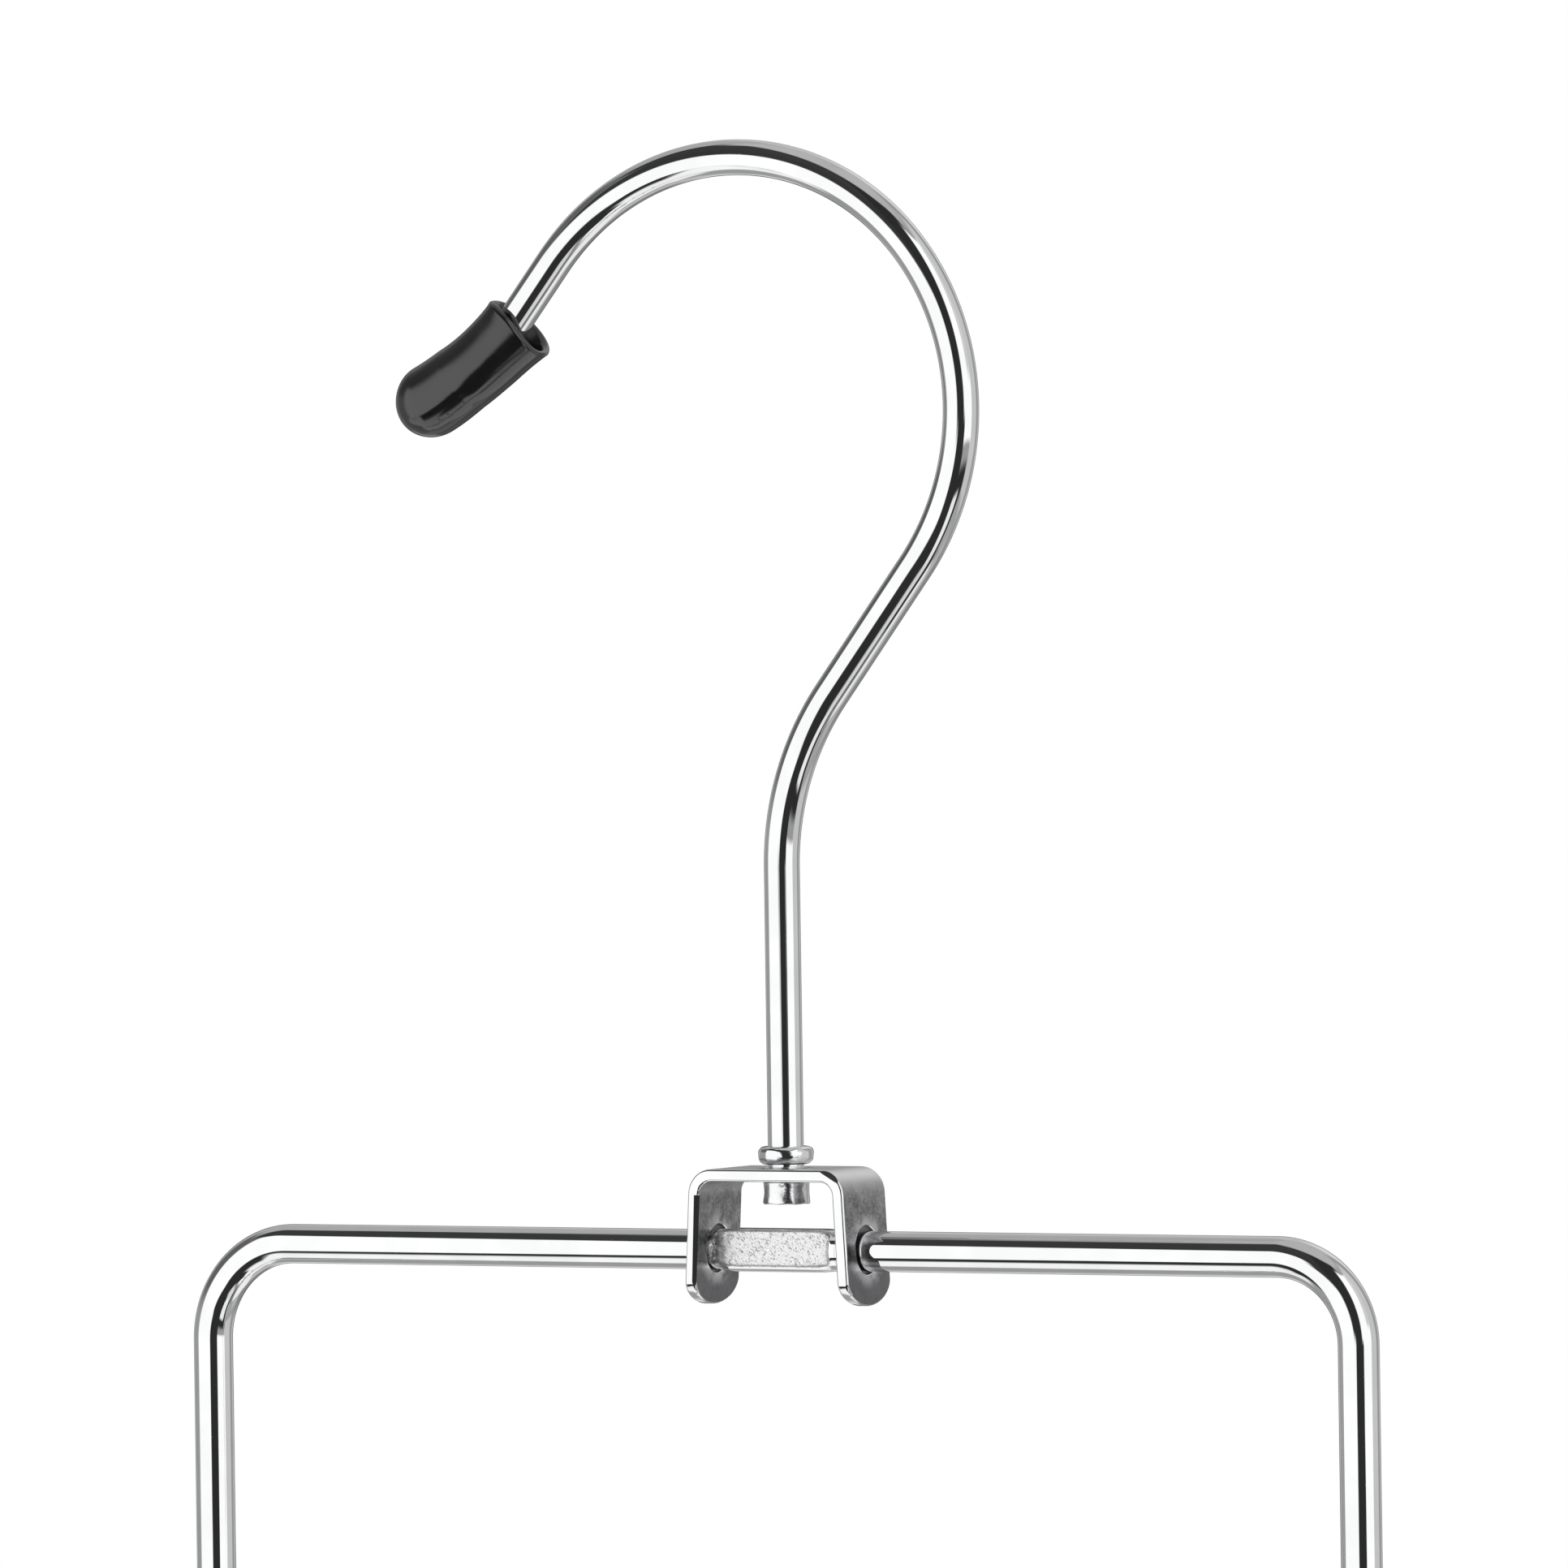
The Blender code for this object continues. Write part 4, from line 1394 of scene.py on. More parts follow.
        radial = direction(self.bend_shear_place)
        centre = Vector((plan.hook_offset + plan.bracket_width / 2 - radius, 0.0, plan.web_top - radius))
        start = centre + radial * (radius - self.bend_shear) - Vector((0.0, self.depth / 2, 0.0))
        facing = radial * math.sin(slant) - Vector((0.0, math.cos(slant), 0.0))
        tangent = radial * math.cos(slant) + Vector((0.0, math.sin(slant), 0.0))
        middle = start + tangent * (self.shear_across / 2 - self.bend_shear_lead)
        along = direction(self.bend_shear_place - 90.0)
        return [ear, self.corner_form("bend_shear_form", middle, facing, along)]

    def trim(self, item: bpy.types.Object, forms: Sequence[tuple[bpy.types.Object, str]]) -> None:
        """Cut the sheet with forms, each with its boolean operation, and remove the forms."""
        for form, operation in forms:
            cut = item.modifiers.new(form.name, "BOOLEAN")
            cut.operation = operation
            cut.solver = "EXACT"
            cut.object = form
        settle(item)
        for form, _ in forms:
            bpy.data.objects.remove(form, do_unlink=True)

    def break_edges(self, item: bpy.types.Object, width: float) -> None:
        """Round, by a width, every edge where two faces meet at more than the edge angle."""
        broken = item.modifiers.new("broken edges", "BEVEL")
        broken.width = width
        broken.segments = self.edge_segments
        broken.limit_method = "ANGLE"
        broken.angle_limit = math.radians(self.edge_angle)
        broken.use_clamp_overlap = False
        settle(item)

    def build(self, faces: SatinNickel, edges: PolishedChrome, walls: SatinNickel) -> None:
        """Bend, trim and drill the sheet, break its edges, and dress its faces, edges and holes."""
        plan = self.plan
        work = bmesh.new()
        offset = Vector((0.0, self.depth / 2, 0.0))
        rows = []
        for point in self.outline():
            rows.append((work.verts.new(point - offset), work.verts.new(point + offset)))
        for (front, back), (next_front, next_back) in zip(rows, rows[1:]):
            work.faces.new((front, next_front, next_back, back))
        item = link_mesh("bracket_sheet", work)
        shell = item.modifiers.new("sheet", "SOLIDIFY")
        shell.thickness = plan.sheet
        shell.offset = -1.0
        shell.use_even_offset = True
        origin = Vector((plan.hook_offset, 0.0, plan.web_top))
        ear_centre = origin - Vector((0.0, 0.0, plan.ear_hole_drop))
        x_axis, z_axis = Vector((1, 0, 0)), Vector((0, 0, 1))
        ear_hole = self.hole_form("ear_hole_form", ear_centre, x_axis, plan.ear_hole / 2, self.long_drill)
        web_hole = self.hole_form("web_hole_form", origin, z_axis, self.web_hole / 2, self.drill)
        self.trim(item, [(self.ear_form(), "INTERSECT")])
        self.break_edges(item, self.edge)
        self.trim(item, [(ear_hole, "DIFFERENCE"), (web_hole, "DIFFERENCE")])
        self.break_edges(item, self.edge * self.hole_share)
        self.trim(item, [(form, "DIFFERENCE") for form in self.sheared_corners()])
        self.refill_ears(item)

        shade_round(item, self.smooth_angle)
        item.data.materials.clear()
        for finish in (faces, edges, walls):
            item.data.materials.append(finish.material())
        for polygon in item.data.polygons:
            polygon.material_index = self.finish_index(polygon.center - origin, polygon.normal)
        weights = item.modifiers.new("flat faces", "WEIGHTED_NORMAL")
        weights.keep_sharp = True
        weights.weight = self.flat_weight
        settle(item)
        self.shop.deliver(item, Body.BRACKET, Slot.SATIN, ["swivel_bracket"])

    def refill_ears(self, item: bpy.types.Object) -> None:
        """Fill the flat faces of both ears anew, between their outline and their hole."""
        plan = self.plan
        splay = math.radians(plan.ear_splay)
        radius = plan.bracket_bend_radius
        work = bmesh.new()
        work.from_mesh(item.data)
        bmesh.ops.dissolve_degenerate(work, dist=self.sliver, edges=work.edges)
        for side in (-1.0, 1.0):
            bend_x = plan.hook_offset + side * (plan.bracket_width / 2 - radius)
            centre = Vector((bend_x, 0.0, plan.web_top - radius))
            outwards = Vector((side * math.cos(splay), 0.0, math.sin(splay)))
            self.refill_plane(work, centre + outwards * radius, outwards)
            self.refill_plane(work, centre + outwards * (radius - plan.sheet), -outwards)
        large = [face for face in work.faces if len(face.verts) > 4]
        bmesh.ops.triangulate(work, faces=large, ngon_method="BEAUTY")
        work.to_mesh(item.data)
        work.free()

    def refill_plane(self, work: bmesh.types.BMesh, place: Vector, normal: Vector) -> None:
        """Fill the faces that lie in a plane anew, with triangles.

        Args:
            work: The sheet's mesh.
            place: A point of the plane.
            normal: The direction that its faces look in.
        """
        flat = {corner for corner in work.verts if abs((corner.co - place).dot(normal)) < self.sliver}
        old = [face for face in work.faces if flat.issuperset(face.verts)]
        bmesh.ops.delete(work, geom=old, context="FACES")
        rim = [edge for edge in work.edges if edge.is_boundary]
        filled = bmesh.ops.triangle_fill(work, use_beauty=True, edges=rim, normal=normal)["geom"]
        for face in [part for part in filled if isinstance(part, bmesh.types.BMFace)]:
            face.normal_update()
            if face.normal.dot(normal) < 0.0:
                face.normal_flip()

    def build_burrs(self, finish: SatinNickel) -> None:
        """Turn the burr that the punch leaves round each ear hole, on the sheet's left side."""
        plan = self.plan
        splay = math.radians(plan.ear_splay)
        outer = plan.bracket_width / 2 + (plan.ear_hole_drop - plan.bracket_bend_radius) * math.tan(splay)
        inner = outer - plan.sheet / math.cos(splay)
        hole, rim = plan.ear_hole / 2, self.burr_round
        wide, tall = hole + self.burr_width, self.burr_height - rim
        profile = [(hole, -self.burr_root), (hole, tall)]
        profile += arc((hole + rim, tall), (rim, rim), (180.0, 60.0), 5)[1:]
        profile += [(wide, 0.0), (wide, -self.burr_root)]
        work = bmesh.new()
        for face_x, lean in ((-outer, -1.0), (inner, 1.0)):

            def place(radius: float, angle: float, height: float) -> Vector:
                """The point of one burr, which stands on the leaning ear."""
                up = radius * math.sin(angle)
                point = Vector((face_x - height - lean * up * math.tan(splay), radius * math.cos(angle), up))
                point.x += self.burr_wave.at(point)
                return point + Vector((plan.hook_offset, 0.0, plan.web_top - plan.ear_hole_drop))

            loft(work, lathe_rings(profile, self.hole_sides, place), closed=True)
        item = link_mesh("bracket_hole_burrs", work)
        shade_round(item, 40.0)
        self.shop.deliver(item, Body.BRACKET, Slot.SATIN, ["swivel_bracket"], finish.material())

    def finish_index(self, place: Vector, normal: Vector) -> int:
        """Which finish a face has.

        Args:
            place: The face's middle, from the top of the web.
            normal: The face's normal.

        Returns:
            0 on the sheet's faces, 1 on its cut edges and 2 on the holes' walls.
        """
        plan = self.plan
        if place.z < -plan.bracket_bend_radius:
            past_hole = math.hypot(place.y, place.z + plan.ear_hole_drop) - plan.ear_hole / 2
            flat = abs(normal.x)
        else:
            past_hole = math.hypot(place.x, place.y) - self.web_hole / 2
            flat = abs(normal.z)
        if past_hole < self.wall_reach and flat < 0.5:
            return 2
        if past_hole < self.edge:
            return int(flat < 0.95)
        in_ear = place.z < -plan.bracket_bend_radius
        return int(abs(normal.y) > 0.25 or (in_ear and flat < 0.9))


@dataclass
class LadderFrame:
    """The closed frame of round wire, and the block pressed in the middle of its bar."""

    plan: Plan
    shop: Workshop
    top_left_radius: float = 0.0111
    top_right_radius: float = 0.0094
    wire_sides: int = 64
    bend_step: float = 3.0
    thickness: float = 0.0034
    runout: float = 0.0008
    collar: float = 0.0006
    flash: float = 0.00003
    upper_corner: float = 0.00045
    lower_corner: float = 0.0011
    end_corner: float = 0.3 * MM
    end_length: float = 1.6 * MM
    end_squeeze: float = 0.14
    left_ease: float = 0.6
    right_ease: float = 0.25
    upper_print: float = 44.0
    lower_print: float = 27.0
    print_fade: float = 14.0
    print_rough: Ripple = Ripple(1400.0, 0.035 * MM, 11.0)
    runout_lumps: Ripple = Ripple(900.0, 0.06 * MM, 13.0)
    section_corners: int = 96
    section_halvings: int = 30
    stations: int = 120

    @property
    def block_end(self) -> float:
        """Half the length that the block's form covers."""
        return self.plan.block_length / 2 + self.runout + self.collar

    def build_wire(self, finish: PolishedChrome) -> None:
        """Sweep the wire from the block's right end, round the frame, to its left end."""
        plan = self.plan
        width, height, radius = plan.frame_width, plan.frame_height, plan.corner_radius
        right_run = width / 2 - plan.block_offset - self.block_end
        left_run = width / 2 + plan.block_offset - self.block_end
        start = (plan.block_x + self.block_end - self.collar / 2, 0.0, plan.pivot_z)
        line = WirePath(start, 0.0, self.bend_step)
        line.run(right_run + self.collar / 2 - self.top_right_radius)
        line.bend(self.top_right_radius, -90.0).run(height - self.top_right_radius - radius)
        line.bend(radius, -90.0).run(width - 2 * radius)
        line.bend(radius, -90.0).run(height - self.top_left_radius - radius)
        line.bend(self.top_left_radius, -90.0)
        line.run(left_run + self.collar / 2 - self.top_left_radius)
        item = path_object("frame_round_wire", line.points)
        values = {"Diameter": plan.frame_wire, "Sides": self.wire_sides, "Material": finish.material()}
        self.shop.wire.apply(item, values)
        self.shop.deliver(item, Body.LADDER, Slot.CHROME, ["frame_wire"])

    def section(self, share: float, end: float) -> list[tuple[float, float, float]]:
        """The bar's section as (y, z, pressed) triples.

        Args:
            share: 0 for the round wire, 1 for the pressed block.
            end: How near the section is to the block's end, from 0 to 1.

        Returns:
            One triple for each corner.
        """
        plan = self.plan
        round_radius = plan.frame_wire / 2 + self.flash
        half_y, half_z = self.thickness / 2, plan.block_height / 2
        corners = []
        for index in range(self.section_corners):
            angle = 2 * math.pi * (index + 0.5) / self.section_corners
            across, up = math.cos(angle), math.sin(angle)
            corner = (self.upper_corner if up > 0 else self.lower_corner) + self.end_corner * end
            box = self.rounded_box(across, up, (half_y, half_z), corner)
            circle = Vector((across * round_radius, up * round_radius))
            point = circle.lerp(Vector(box), share)
            past = (abs(box[1]) - half_z + corner) / corner
            tilt = math.degrees(math.asin(max(0.0, min(1.0, past))))
            reach = self.upper_print if up > 0 else self.lower_print
            flat = max(0.0, min(1.0, (reach - tilt) / self.print_fade + 0.5))
            corners.append((point.x, point.y, flat * min(1.0, 2.5 * share)))
        return corners

    def rounded_box(
        self, across: float, up: float, half: tuple[float, float], corner: float
    ) -> tuple[float, float]:
        """The point of a rounded rectangle in a direction from its middle.

        Args:
            across: The direction's first part.
            up: The direction's second part.
            half: The rectangle's half sizes.
            corner: The radius of its corners.

        Returns:
            The point.
        """
        low, high = 0.0, half[0] + half[1]
        inner = (half[0] - corner, half[1] - corner)
        for _ in range(self.section_halvings):
            middle = (low + high) / 2
            past_x = max(0.0, abs(across) * middle - inner[0])
            past_z = max(0.0, abs(up) * middle - inner[1])
            if math.hypot(past_x, past_z) > corner:
                high = middle
            else:
                low = middle
        return across * low, up * low

    def build_block(self, finish: PressedSteel) -> None:
        """Loft the pressed block between its run-outs."""
        plan = self.plan
        half = plan.block_length / 2
        rings, masks = [], []
        for station in range(self.stations + 1):
            x = self.block_end * (2.0 * station / self.stations - 1.0)
            away = abs(x) - half
            ease = self.left_ease if x < 0 else self.right_ease
            linear = min(1.0, max(0.0, 1.0 - away / self.runout))
            share = linear * linear * (3.0 - 2.0 * linear)
            end = max(0.0, 1.0 + away / self.end_length) if away < 0 else 1.0
            squeeze = 1.0 - self.end_squeeze * ease * end**3 * share
            corners = self.section(share, end * ease / self.left_ease)
            ring = []
            for y, z, flat in corners:
                point = Vector((x + plan.block_x, y, z * squeeze + plan.pivot_z))
                rough = self.print_rough.at(point) * flat
                lumps = self.runout_lumps.at(point) * 4 * share * (1.0 - share)
                point.y += (rough + lumps) * math.copysign(1.0, y)
                ring.append(point)
            rings.append(ring)
            masks += [flat for _, _, flat in corners]
        work = bmesh.new()
        made = loft(work, rings)
        work.faces.new(made[0])
        work.faces.new(made[-1])
        bmesh.ops.recalc_face_normals(work, faces=work.faces)
        item = link_mesh("frame_pressed_block", work)
        mask = item.data.attributes.new(MASK_ATTRIBUTE, "FLOAT", "POINT")
        mask.data.foreach_set("value", masks)
        shade_round(item, 60.0)
        self.shop.deliver(item, Body.LADDER, Slot.CHROME, ["frame_wire"], finish.material())


@dataclass
class TieBars:
    """The straight bars, welded between the rails, over which ties hang."""

    plan: Plan
    shop: Workshop
    wire: float = 0.0035
    overlap: float = 0.2 * MM
    steps: int = 8
    sides: int = 48
    bead: Bead = Bead((0.0010, 0.00205, 0.00205), 0.0009, 4)

    def heights(self) -> list[float]:
        """The heights of the bars."""
        plan = self.plan
        first = plan.pivot_z - plan.tie_bar_first_drop
        return [first - index * plan.tie_bar_pitch for index in range(plan.tie_bar_count)]

    def build(self, finish: PolishedChrome, weld: PolishedChrome) -> None:
        """Repeat the bar down the ladder, and set a weld bead at each of its ends."""
        plan = self.plan
        half = (plan.frame_width - plan.frame_wire) / 2
        reach = half + self.overlap
        shares = [2 * step / self.steps - 1 for step in range(self.steps + 1)]
        points = [Vector((plan.frame_x + reach * share, 0.0, self.heights()[0])) for share in shares]
        item = path_object("tie_bar_set", points)
        values = {
            "Diameter": self.wire,
            "Sides": self.sides,
            "Count": plan.tie_bar_count,
            "Pitch": plan.tie_bar_pitch,
            "Material": finish.material(),
        }
        self.shop.bars.apply(item, values)
        nodes = [f"tie_bar_{index + 1}" for index in range(plan.tie_bar_count)]
        self.shop.deliver(item, Body.LADDER, Slot.CHROME, nodes)

        ends = (plan.frame_x - half, plan.frame_x + half)
        points = [Vector((end, 0.0, height)) for height in self.heights() for end in ends]
        self.shop.weld("tie_bar_welds", points, self.bead, weld.material(), nodes)


@dataclass
class BeltHooks:
    """The capped J hooks, welded in turn to the front and the back of the lowest rail."""

    plan: Plan
    shop: Workshop
    count: int = 6
    margin: float = 0.0080
    wire: float = 0.0032
    rise: float = 0.0030
    stem: float = 0.0150
    radius: float = 0.0080
    bend: float = 160.0
    tip: float = 0.0110
    sides: int = 40
    bend_step: float = 4.0
    cap_length: float = 0.0110
    cap_diameter: float = 0.0060
    cap_mouth_diameter: float = 0.0064
    cap_end_wall: float = 0.0022
    cap_dome: float = 0.0028
    cap_bore_gap: float = 0.1 * MM
    cap_skirt: float = 2.2 * MM
    cap_flare: float = 1.8 * MM
    cap_flare_steps: int = 6
    cap_lip: float = 0.35 * MM
    cap_middle_inset: float = 0.05 * MM
    cap_skirt_inset: float = 0.03 * MM
    cap_wave: Ripple = Ripple(300.0, 0.008, 17.0)
    cap_sides: int = 48
    bead: Bead = Bead((0.0017, 0.0012, 0.0017), 0.0008, 9)

    def path(self) -> WirePath:
        """The middle line of one hook in its own XZ plane, from the stem's top to the bare tip."""
        line = WirePath((0.0, 0.0, self.rise), -90.0, self.bend_step)
        return line.run(self.rise + self.stem).bend(self.radius, self.bend).run(self.tip)

    def row(self, material: bpy.types.Material, stand_off: float) -> dict[str, Any]:
        """The inputs of the tree that repeats a piece along the lowest rail.

        Args:
            material: The piece's finish.
            stand_off: How far the piece stands in front of and behind the rail.

        Returns:
            A value for each input.
        """
        plan = self.plan
        reach = plan.frame_width / 2 - plan.corner_radius - self.margin
        return {
            "Count": self.count,
            "Pitch": 2 * reach / (self.count - 1),
            "Start": (plan.frame_x - reach, 0.0, plan.pivot_z - plan.frame_height),
            "Stand off": stand_off,
            "Material": material,
        }

    def cap_profile(self) -> list[tuple[float, float]]:
        """(radius, height) pairs of a cap, from the dome's pole over the mouth to the bore's end."""
        bore, lip = self.wire / 2 + self.cap_bore_gap, self.cap_lip
        outer, mouth = self.cap_diameter / 2, self.cap_mouth_diameter / 2
        top = self.plan.gap + self.cap_end_wall
        bottom = top - self.cap_length
        dome, skirt = top - self.cap_dome, bottom + self.cap_skirt
        profile = [(0.0, top)] + arc((0.0, dome), (outer, self.cap_dome), (90.0, 0.0), 14)[1:]
        profile.append((outer - self.cap_middle_inset, (dome + skirt) / 2))
        profile.append((outer - self.cap_skirt_inset, skirt))
        for step in range(1, self.cap_flare_steps + 1):
            share = step / self.cap_flare_steps
            profile.append((outer + (mouth - outer) * share**2, skirt - self.cap_flare * share))
        profile += arc((mouth - lip, bottom + lip), (lip, lip), (0.0, -90.0), 6)[1:]
        profile += arc((bore + lip, bottom + lip), (lip, lip), (-90.0, -180.0), 6)
        return profile + [(bore, self.plan.gap), (0.0, self.plan.gap)]

    def build(self, finish: PolishedChrome, weld: PolishedChrome, vinyl: GlossVinyl) -> None:
        """Repeat the wire, its weld and its cap along the lowest rail."""
        stand_off = (self.plan.frame_wire + self.wire) / 2 + self.plan.gap
        names = [f"belt_hook_{index + 1}" for index in range(self.count)]
        caps = [f"belt_hook_cap_{index + 1}" for index in range(self.count)]
        chrome = finish.material()

        item = path_object("belt_hook_set", self.path().points)
        self.shop.wire.apply(item, {"Diameter": self.wire, "Sides": self.sides, "Material": chrome})
        self.shop.alternate.apply(item, self.row(chrome, stand_off))
        self.shop.deliver(item, Body.LADDER, Slot.CHROME, names)

        line = self.path()
        tip, heading = line.points[-1], line.headings[-1]
        turn = Matrix.Rotation(math.radians(90.0 - heading), 3, "Y")

        def place(radius: float, angle: float, height: float) -> Vector:
            """The point of a cap that is pushed on the first hook's tip."""
            point = Vector((radius * math.cos(angle), radius * math.sin(angle), height))
            point.xy *= 1.0 + self.cap_wave.at(point)
            return tip + turn @ point

        cap = lofted("belt_hook_cap_set", lathe_rings(self.cap_profile(), self.cap_sides, place), 40.0)
        values = self.row(vinyl.material(), stand_off)
        self.shop.alternate.apply(cap, values)
        self.shop.deliver(cap, Body.LADDER, Slot.VINYL, caps)

        points = []
        for index in range(self.count):
            facing = -1 if index % 2 == 0 else 1
            shift = Vector((index * values["Pitch"], facing * self.plan.frame_wire / 2, 0.0))
            points.append(Vector(values["Start"]) + shift)
        self.shop.weld("belt_hook_welds", points, self.bead, weld.material(), names)


@dataclass(frozen=True)
class StudioPatch:
    """A soft-edged patch of the studio, by the direction in which it lies.

    Azimuth is 0 to the front and 90 to the right.
    """

    azimuth: tuple[float, float]
    elevation: tuple[float, float]
    level: float
    soft: float = 4.0

    def mask(self, azimuth: Signal, elevation: Signal) -> Signal:
        """The patch's mask, from two signals in degrees."""
        graph = azimuth.graph
        first, last = self.azimuth
        middle, half = (first + last) / 2, (last - first) / 2
        away = graph.math("ABSOLUTE", graph.math("WRAP", azimuth - middle, 180.0, -180.0))
        across = graph.falling(away, half - self.soft, half + self.soft)
        low, high = self.elevation
        above = graph.rising(elevation, low - self.soft, low + self.soft)
        below = graph.falling(elevation, high - self.soft, high + self.soft)
        return across * above * below


@dataclass(frozen=True)
class SoftCard:
    """A panel of light that only reflections show, with soft edges."""

    name: str
    azimuth: float
    distance: float
    corners: tuple[tuple[float, float], ...]
    level: float
    soft: tuple[float, float] = (0.08, 0.08)

    def build(self) -> bpy.types.Object:
        """Make the card, facing the object."""
        away, across = level_axes(self.azimuth)
        work = bmesh.new()
        layer = work.loops.layers.uv.new("card")
        points = [away * self.distance + across * u + Vector((0.0, 0.0, z)) for u, z in self.corners]
        face = work.faces.new([work.verts.new(point) for point in points])
        for loop, place in zip(face.loops, ((0, 0), (1, 0), (1, 1), (0, 1))):
            loop[layer].uv = place
        card = link_mesh(self.name, work)
        card.data.materials.append(self.material())
        card.visible_camera = False
        card.visible_diffuse = False
        card.visible_transmission = False
        card.visible_volume_scatter = False
        card.visible_shadow = False
        return card

    def material(self) -> bpy.types.Material:
        """An emission that fades out at the card's edges."""
        made = bpy.data.materials.new(self.name)
        made.use_nodes = True
        made.cycles.emission_sampling = "NONE"
        graph = NodeGraph(made.node_tree)
        made.node_tree.nodes.remove(made.node_tree.nodes["Principled BSDF"])
        place = graph.node("ShaderNodeTexCoord", None, None, "UV")
        u = graph.node("ShaderNodeSeparateXYZ", None, {0: place})
        mask = self.fade(graph, u, self.soft[0]) * self.fade(graph, u.other("Y"), self.soft[1])
        colour = (self.level, self.level, self.level, 1.0)
        light = graph.node("ShaderNodeEmission", None, {"Color": colour})
        clear = graph.node("ShaderNodeBsdfTransparent")
        shader = graph.node("ShaderNodeMixShader", None, {0: mask, 1: clear, 2: light})
        output = made.node_tree.nodes["Material Output"]
        graph.feed(output.inputs["Surface"], shader)
        return made

    @staticmethod
    def fade(graph: NodeGraph, place: Signal, soft: float) -> Signal:
        """1 across the card and 0 at its two edges."""
        return graph.rising(place, 0.0, soft) * graph.falling(place, 1.0 - soft, 1.0)


@dataclass
class Studio:
    """The floor, the lamp, the panels that the chrome mirrors, and the camera."""

    plan: Plan
    floor_height: float = -0.40
    floor_half: float = 1.0
    plain_level: float = 0.82
    lamp_power: float = 5.0
    lamp_size: float = 1.2
    lamp_height: float = 1.2
    base_level: float = 0.36
    white: float = 1.14
    dark: float = 0.028
    panel_azimuth: float = -33.0
    panel_distance: float = 0.277
    panel_corners: tuple[tuple[float, float], ...] = (
        (-0.238, -0.285),
        (0.150, -0.310),
        (0.205, 0.054),
        (-0.238, 0.131),
    )
    panel_soft: tuple[float, float] = (0.10, 0.06)
    lens: float = 204.2
    sensor: float = 36.0
    camera_azimuth: float = 28.0
    camera_roll: float = 0.82
    camera_distance: float = 0.990
    camera_rise: float = 0.0519
    camera_side: float = 0.000372

    def patches(self) -> tuple[StudioPatch, ...]:
        """The studio round the object, later patches over earlier ones."""
        white, dark = self.white, self.dark
        return (
            # The ceiling, and the wall behind
            StudioPatch((-180.0, 180.0), (64.0, 100.0), 0.50, 4.0),
            StudioPatch((160.0, 220.0), (-66.0, 62.0), 0.56, 6.0),
            StudioPatch((168.0, 194.0), (14.0, 50.0), 0.75, 7.0),
            # The left side
            StudioPatch((-140.0, -92.0), (14.0, 62.0), 0.44, 6.0),
            StudioPatch((-116.0, -86.0), (-34.0, 12.0), 0.34, 4.0),
            StudioPatch((-150.0, -116.0), (-20.0, 12.0), 0.58, 5.0),
            StudioPatch((-162.0, -128.0), (-34.0, -12.0), 0.85, 5.0),
            StudioPatch((-114.0, -64.0), (8.0, 40.0), 0.13, 5.0),
            # The bright table below
            StudioPatch((-140.0, 100.0), (-100.0, -66.0), 1.00, 3.0),
            StudioPatch((100.0, 220.0), (-100.0, -72.0), 1.00, 3.0),
            StudioPatch((104.0, 166.0), (-74.0, -46.0), 0.95, 3.0),
            StudioPatch((-86.0, -33.0), (-68.0, -46.0), 1.05, 3.0),
            StudioPatch((-90.0, -52.0), (-52.0, -36.0), 0.95, 3.0),
            # The dark front, with one white window
            StudioPatch((-64.0, 60.0), (16.0, 66.0), 0.04, 3.0),
            StudioPatch((-90.0, 60.0), (39.0, 62.0), 0.045, 3.0),
            StudioPatch((-64.0, 100.0), (-43.0, -16.0), dark, 3.0),
            StudioPatch((-28.0, 100.0), (-62.0, -16.0), dark, 4.0),
            StudioPatch((-26.0, 12.0), (-16.0, 15.0), white, 2.0),
            StudioPatch((11.0, 54.0), (-74.0, 64.0), dark, 2.5),
            StudioPatch((2.0, 20.0), (-1.0, 64.0), dark, 3.0),
            # The grey right side, towards the back
            StudioPatch((116.0, 150.0), (-46.0, -34.0), 0.50, 5.0),
            StudioPatch((150.0, 205.0), (-48.0, -18.0), 0.26, 5.0),
            StudioPatch((96.0, 142.0), (-26.0, 60.0), 0.62, 4.0),
            StudioPatch((142.0, 164.0), (-26.0, 60.0), 0.34, 5.0),
            StudioPatch((92.0, 120.0), (-44.0, -26.0), 0.40, 4.0),
            # The dark gap behind, which gives the wires their thin dark outlines
            StudioPatch((184.0, 232.0), (-24.0, 17.0), 0.10, 7.0),
            # The bright panels on the right
            StudioPatch((53.5, 100.0), (-8.0, 56.0), white, 1.6),
            StudioPatch((53.5, 78.0), (-52.0, -24.0), 0.95, 2.0),
            StudioPatch((46.0, 60.0), (0.0, 56.0), white, 3.0),
            StudioPatch((84.0, 100.0), (12.0, 56.0), 0.68, 4.0),
            StudioPatch((44.0, 78.0), (-60.0, -46.0), 0.75, 4.0),
        )

    def left_panel(self) -> SoftCard:
        """The panel that stands near enough for the hook and the frame to see it apart."""
        place = (self.panel_azimuth, self.panel_distance, self.panel_corners)
        return SoftCard("left_panel", *place, self.white, self.panel_soft)

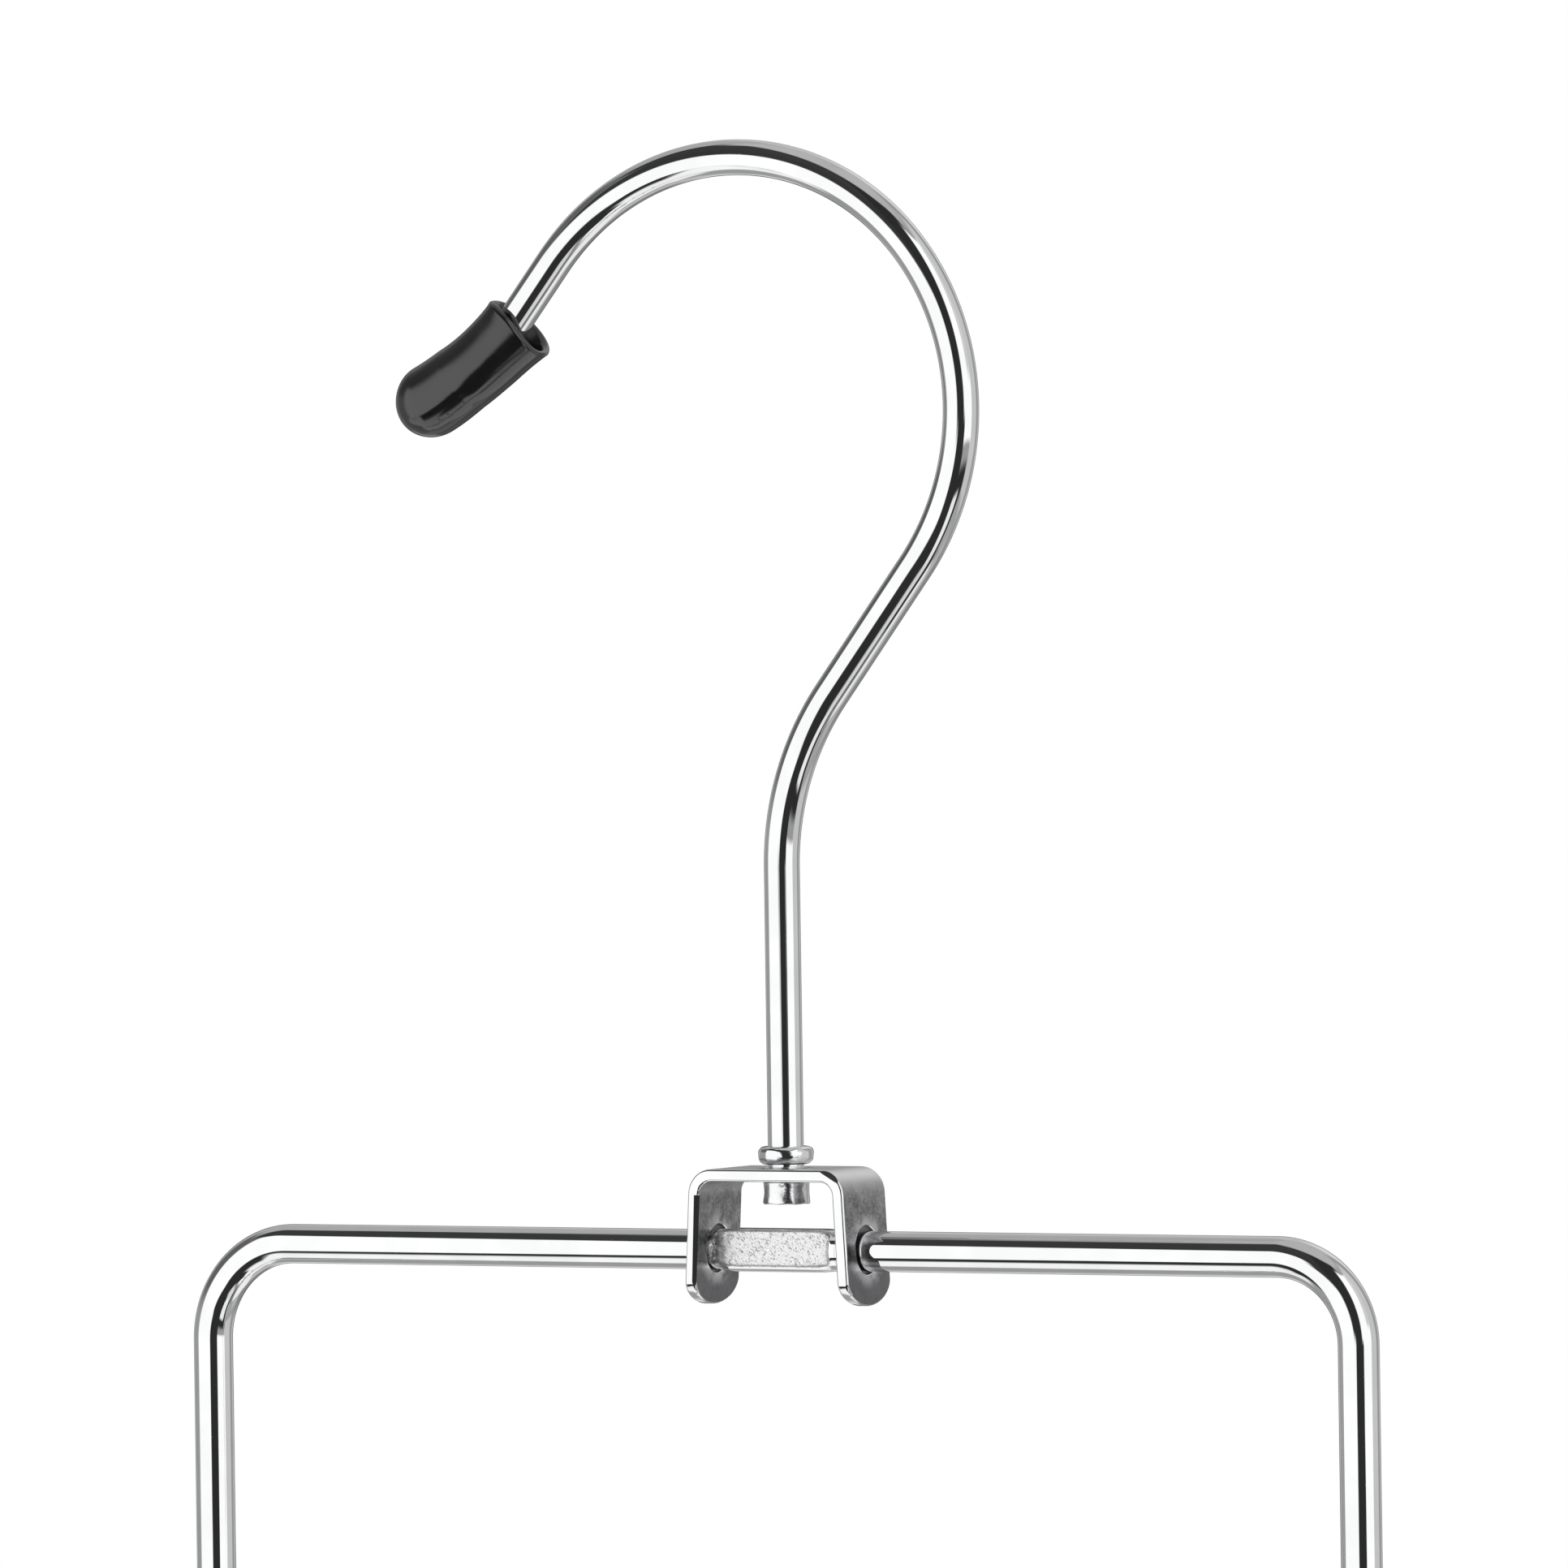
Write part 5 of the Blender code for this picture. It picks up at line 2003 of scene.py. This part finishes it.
    def build_world(self) -> None:
        """White for the camera, a plain level for matt surfaces, and the studio for gloss."""
        world = bpy.data.worlds.new("studio")
        world.use_nodes = True
        world.cycles.sampling_method = "NONE"
        bpy.context.scene.world = world
        graph = NodeGraph(world.node_tree)
        way = graph.node("ShaderNodeTexCoord", None, None, "Generated")
        x = graph.node("ShaderNodeSeparateXYZ", None, {0: way})
        front = 0.0 - x.other("Y")
        to_degrees = 180.0 / math.pi
        azimuth = graph.math("ARCTAN2", x, front) * to_degrees
        elevation = graph.math("ARCSINE", x.other("Z")) * to_degrees
        level: Signal | float = self.base_level
        for patch in self.patches():
            level = graph.blend(level, patch.level, patch.mask(azimuth, elevation))
        path = graph.node("ShaderNodeLightPath")
        plain = graph.blend(self.plain_level, 1.0, path)
        plain = graph.blend(plain, 1.0, path.other("Is Transmission Ray"))
        shown = plain + (level - plain) * path.other("Is Glossy Ray")
        background = world.node_tree.nodes["Background"]
        graph.feed(background.inputs["Color"], shown)

    def build_floor(self, finish: PaleFloor) -> None:
        """Lay the floor, which keeps the object's shadow."""
        work = bmesh.new()
        half = self.floor_half
        corners = ((-half, -half), (half, -half), (half, half), (-half, half))
        work.faces.new([work.verts.new((x, y, self.floor_height)) for x, y in corners])
        floor = link_mesh("floor", work)
        floor.data.materials.append(finish.material())
        floor.visible_glossy = False

    def build_lamp(self) -> None:
        """Hang one large soft lamp over the object."""
        lamp = bpy.data.lights.new("overhead_lamp", "AREA")
        lamp.energy = self.lamp_power
        lamp.shape = "SQUARE"
        lamp.size = self.lamp_size
        item = bpy.data.objects.new("overhead_lamp", lamp)
        bpy.context.scene.collection.objects.link(item)
        item.location = (0.0, 0.0, self.lamp_height)
        item.visible_glossy = False
        item.visible_camera = False

    def build_camera(self) -> None:
        """Set the photograph's camera: level, to the right of the front."""
        data = bpy.data.cameras.new("photo_camera")
        data.lens = self.lens
        data.sensor_width = self.sensor
        item = bpy.data.objects.new("photo_camera", data)
        bpy.context.scene.collection.objects.link(item)
        towards, right = level_axes(self.camera_azimuth)
        place = Vector((self.plan.hook_offset, 0.0, self.plan.pivot_z + self.camera_rise))
        place += towards * self.camera_distance + right * self.camera_side
        turn = Matrix.Rotation(math.radians(self.camera_azimuth), 4, "Z")
        turn = turn @ Matrix.Rotation(math.radians(90.0), 4, "X")
        turn = turn @ Matrix.Rotation(math.radians(-self.camera_roll), 4, "Z")
        item.matrix_world = Matrix.Translation(place) @ turn
        bpy.context.scene.camera = item

    def build(self) -> None:
        """Build everything that is not the object."""
        self.build_world()
        self.build_floor(PaleFloor())
        self.build_lamp()
        self.left_panel().build()
        self.build_camera()
        bpy.context.scene.view_settings.view_transform = "Standard"


def main() -> None:
    """Build the hanger and its studio."""
    logging.basicConfig(level=logging.INFO, format="%(name)s: %(message)s")
    plan = Plan()
    shop = Workshop()

    hook = SwivelHook(plan, shop)
    hook.build_wire(PolishedChrome("chrome_hook_wire", wave_height=0.000016))
    hook.build_collar(PolishedChrome("chrome_collar", on_wire=False, roughness=0.12, dent_height=0.00002))
    hook.build_head(PolishedChrome("chrome_rivet_head", on_wire=False, roughness=0.17, dent_height=0.00003))
    cap = TipCap(plan, shop, hook)
    cap.build(cap.finish())

    bracket = SwivelBracket(plan, shop)
    edges = PolishedChrome("bright_cut_edge", on_wire=False, wave_height=0.00001, roughness=0.06)
    hole_z = plan.web_top - plan.ear_hole_drop
    # The holes' walls, and the burrs that share their finish, are darker: painted shade of the narrow gap
    # round the bar.
    walls = SatinNickel("hole_wall", (0.36, 0.36, 0.36), (0.18, 0.18, 0.18), (0.36, 0.36, 0.36))
    # The sheet is lighter on top as a painted highlight and darker below the ear holes as painted shade.
    sheet = SatinNickel(hole_z=hole_z, bend_z=plan.web_top - 0.6 * MM, painted_shade=0.8)
    bracket.build(sheet, edges, walls)
    bracket.build_burrs(walls)

    ladder = LadderFrame(plan, shop)
    ladder.build_wire(PolishedChrome("chrome_frame_wire"))
    ladder.build_block(PressedSteel(left_end=plan.block_x - plan.block_length / 2))
    weld = PolishedChrome("plated_weld", on_wire=False, roughness=0.12, dent_height=0.00003)
    TieBars(plan, shop).build(PolishedChrome("chrome_tie_bar"), weld)
    BeltHooks(plan, shop).build(PolishedChrome("chrome_belt_hook"), weld, GlossVinyl("vinyl_belt_cap"))

    Studio(plan).build()
    log.info("studio built")


if __name__ == "__main__":
    main()
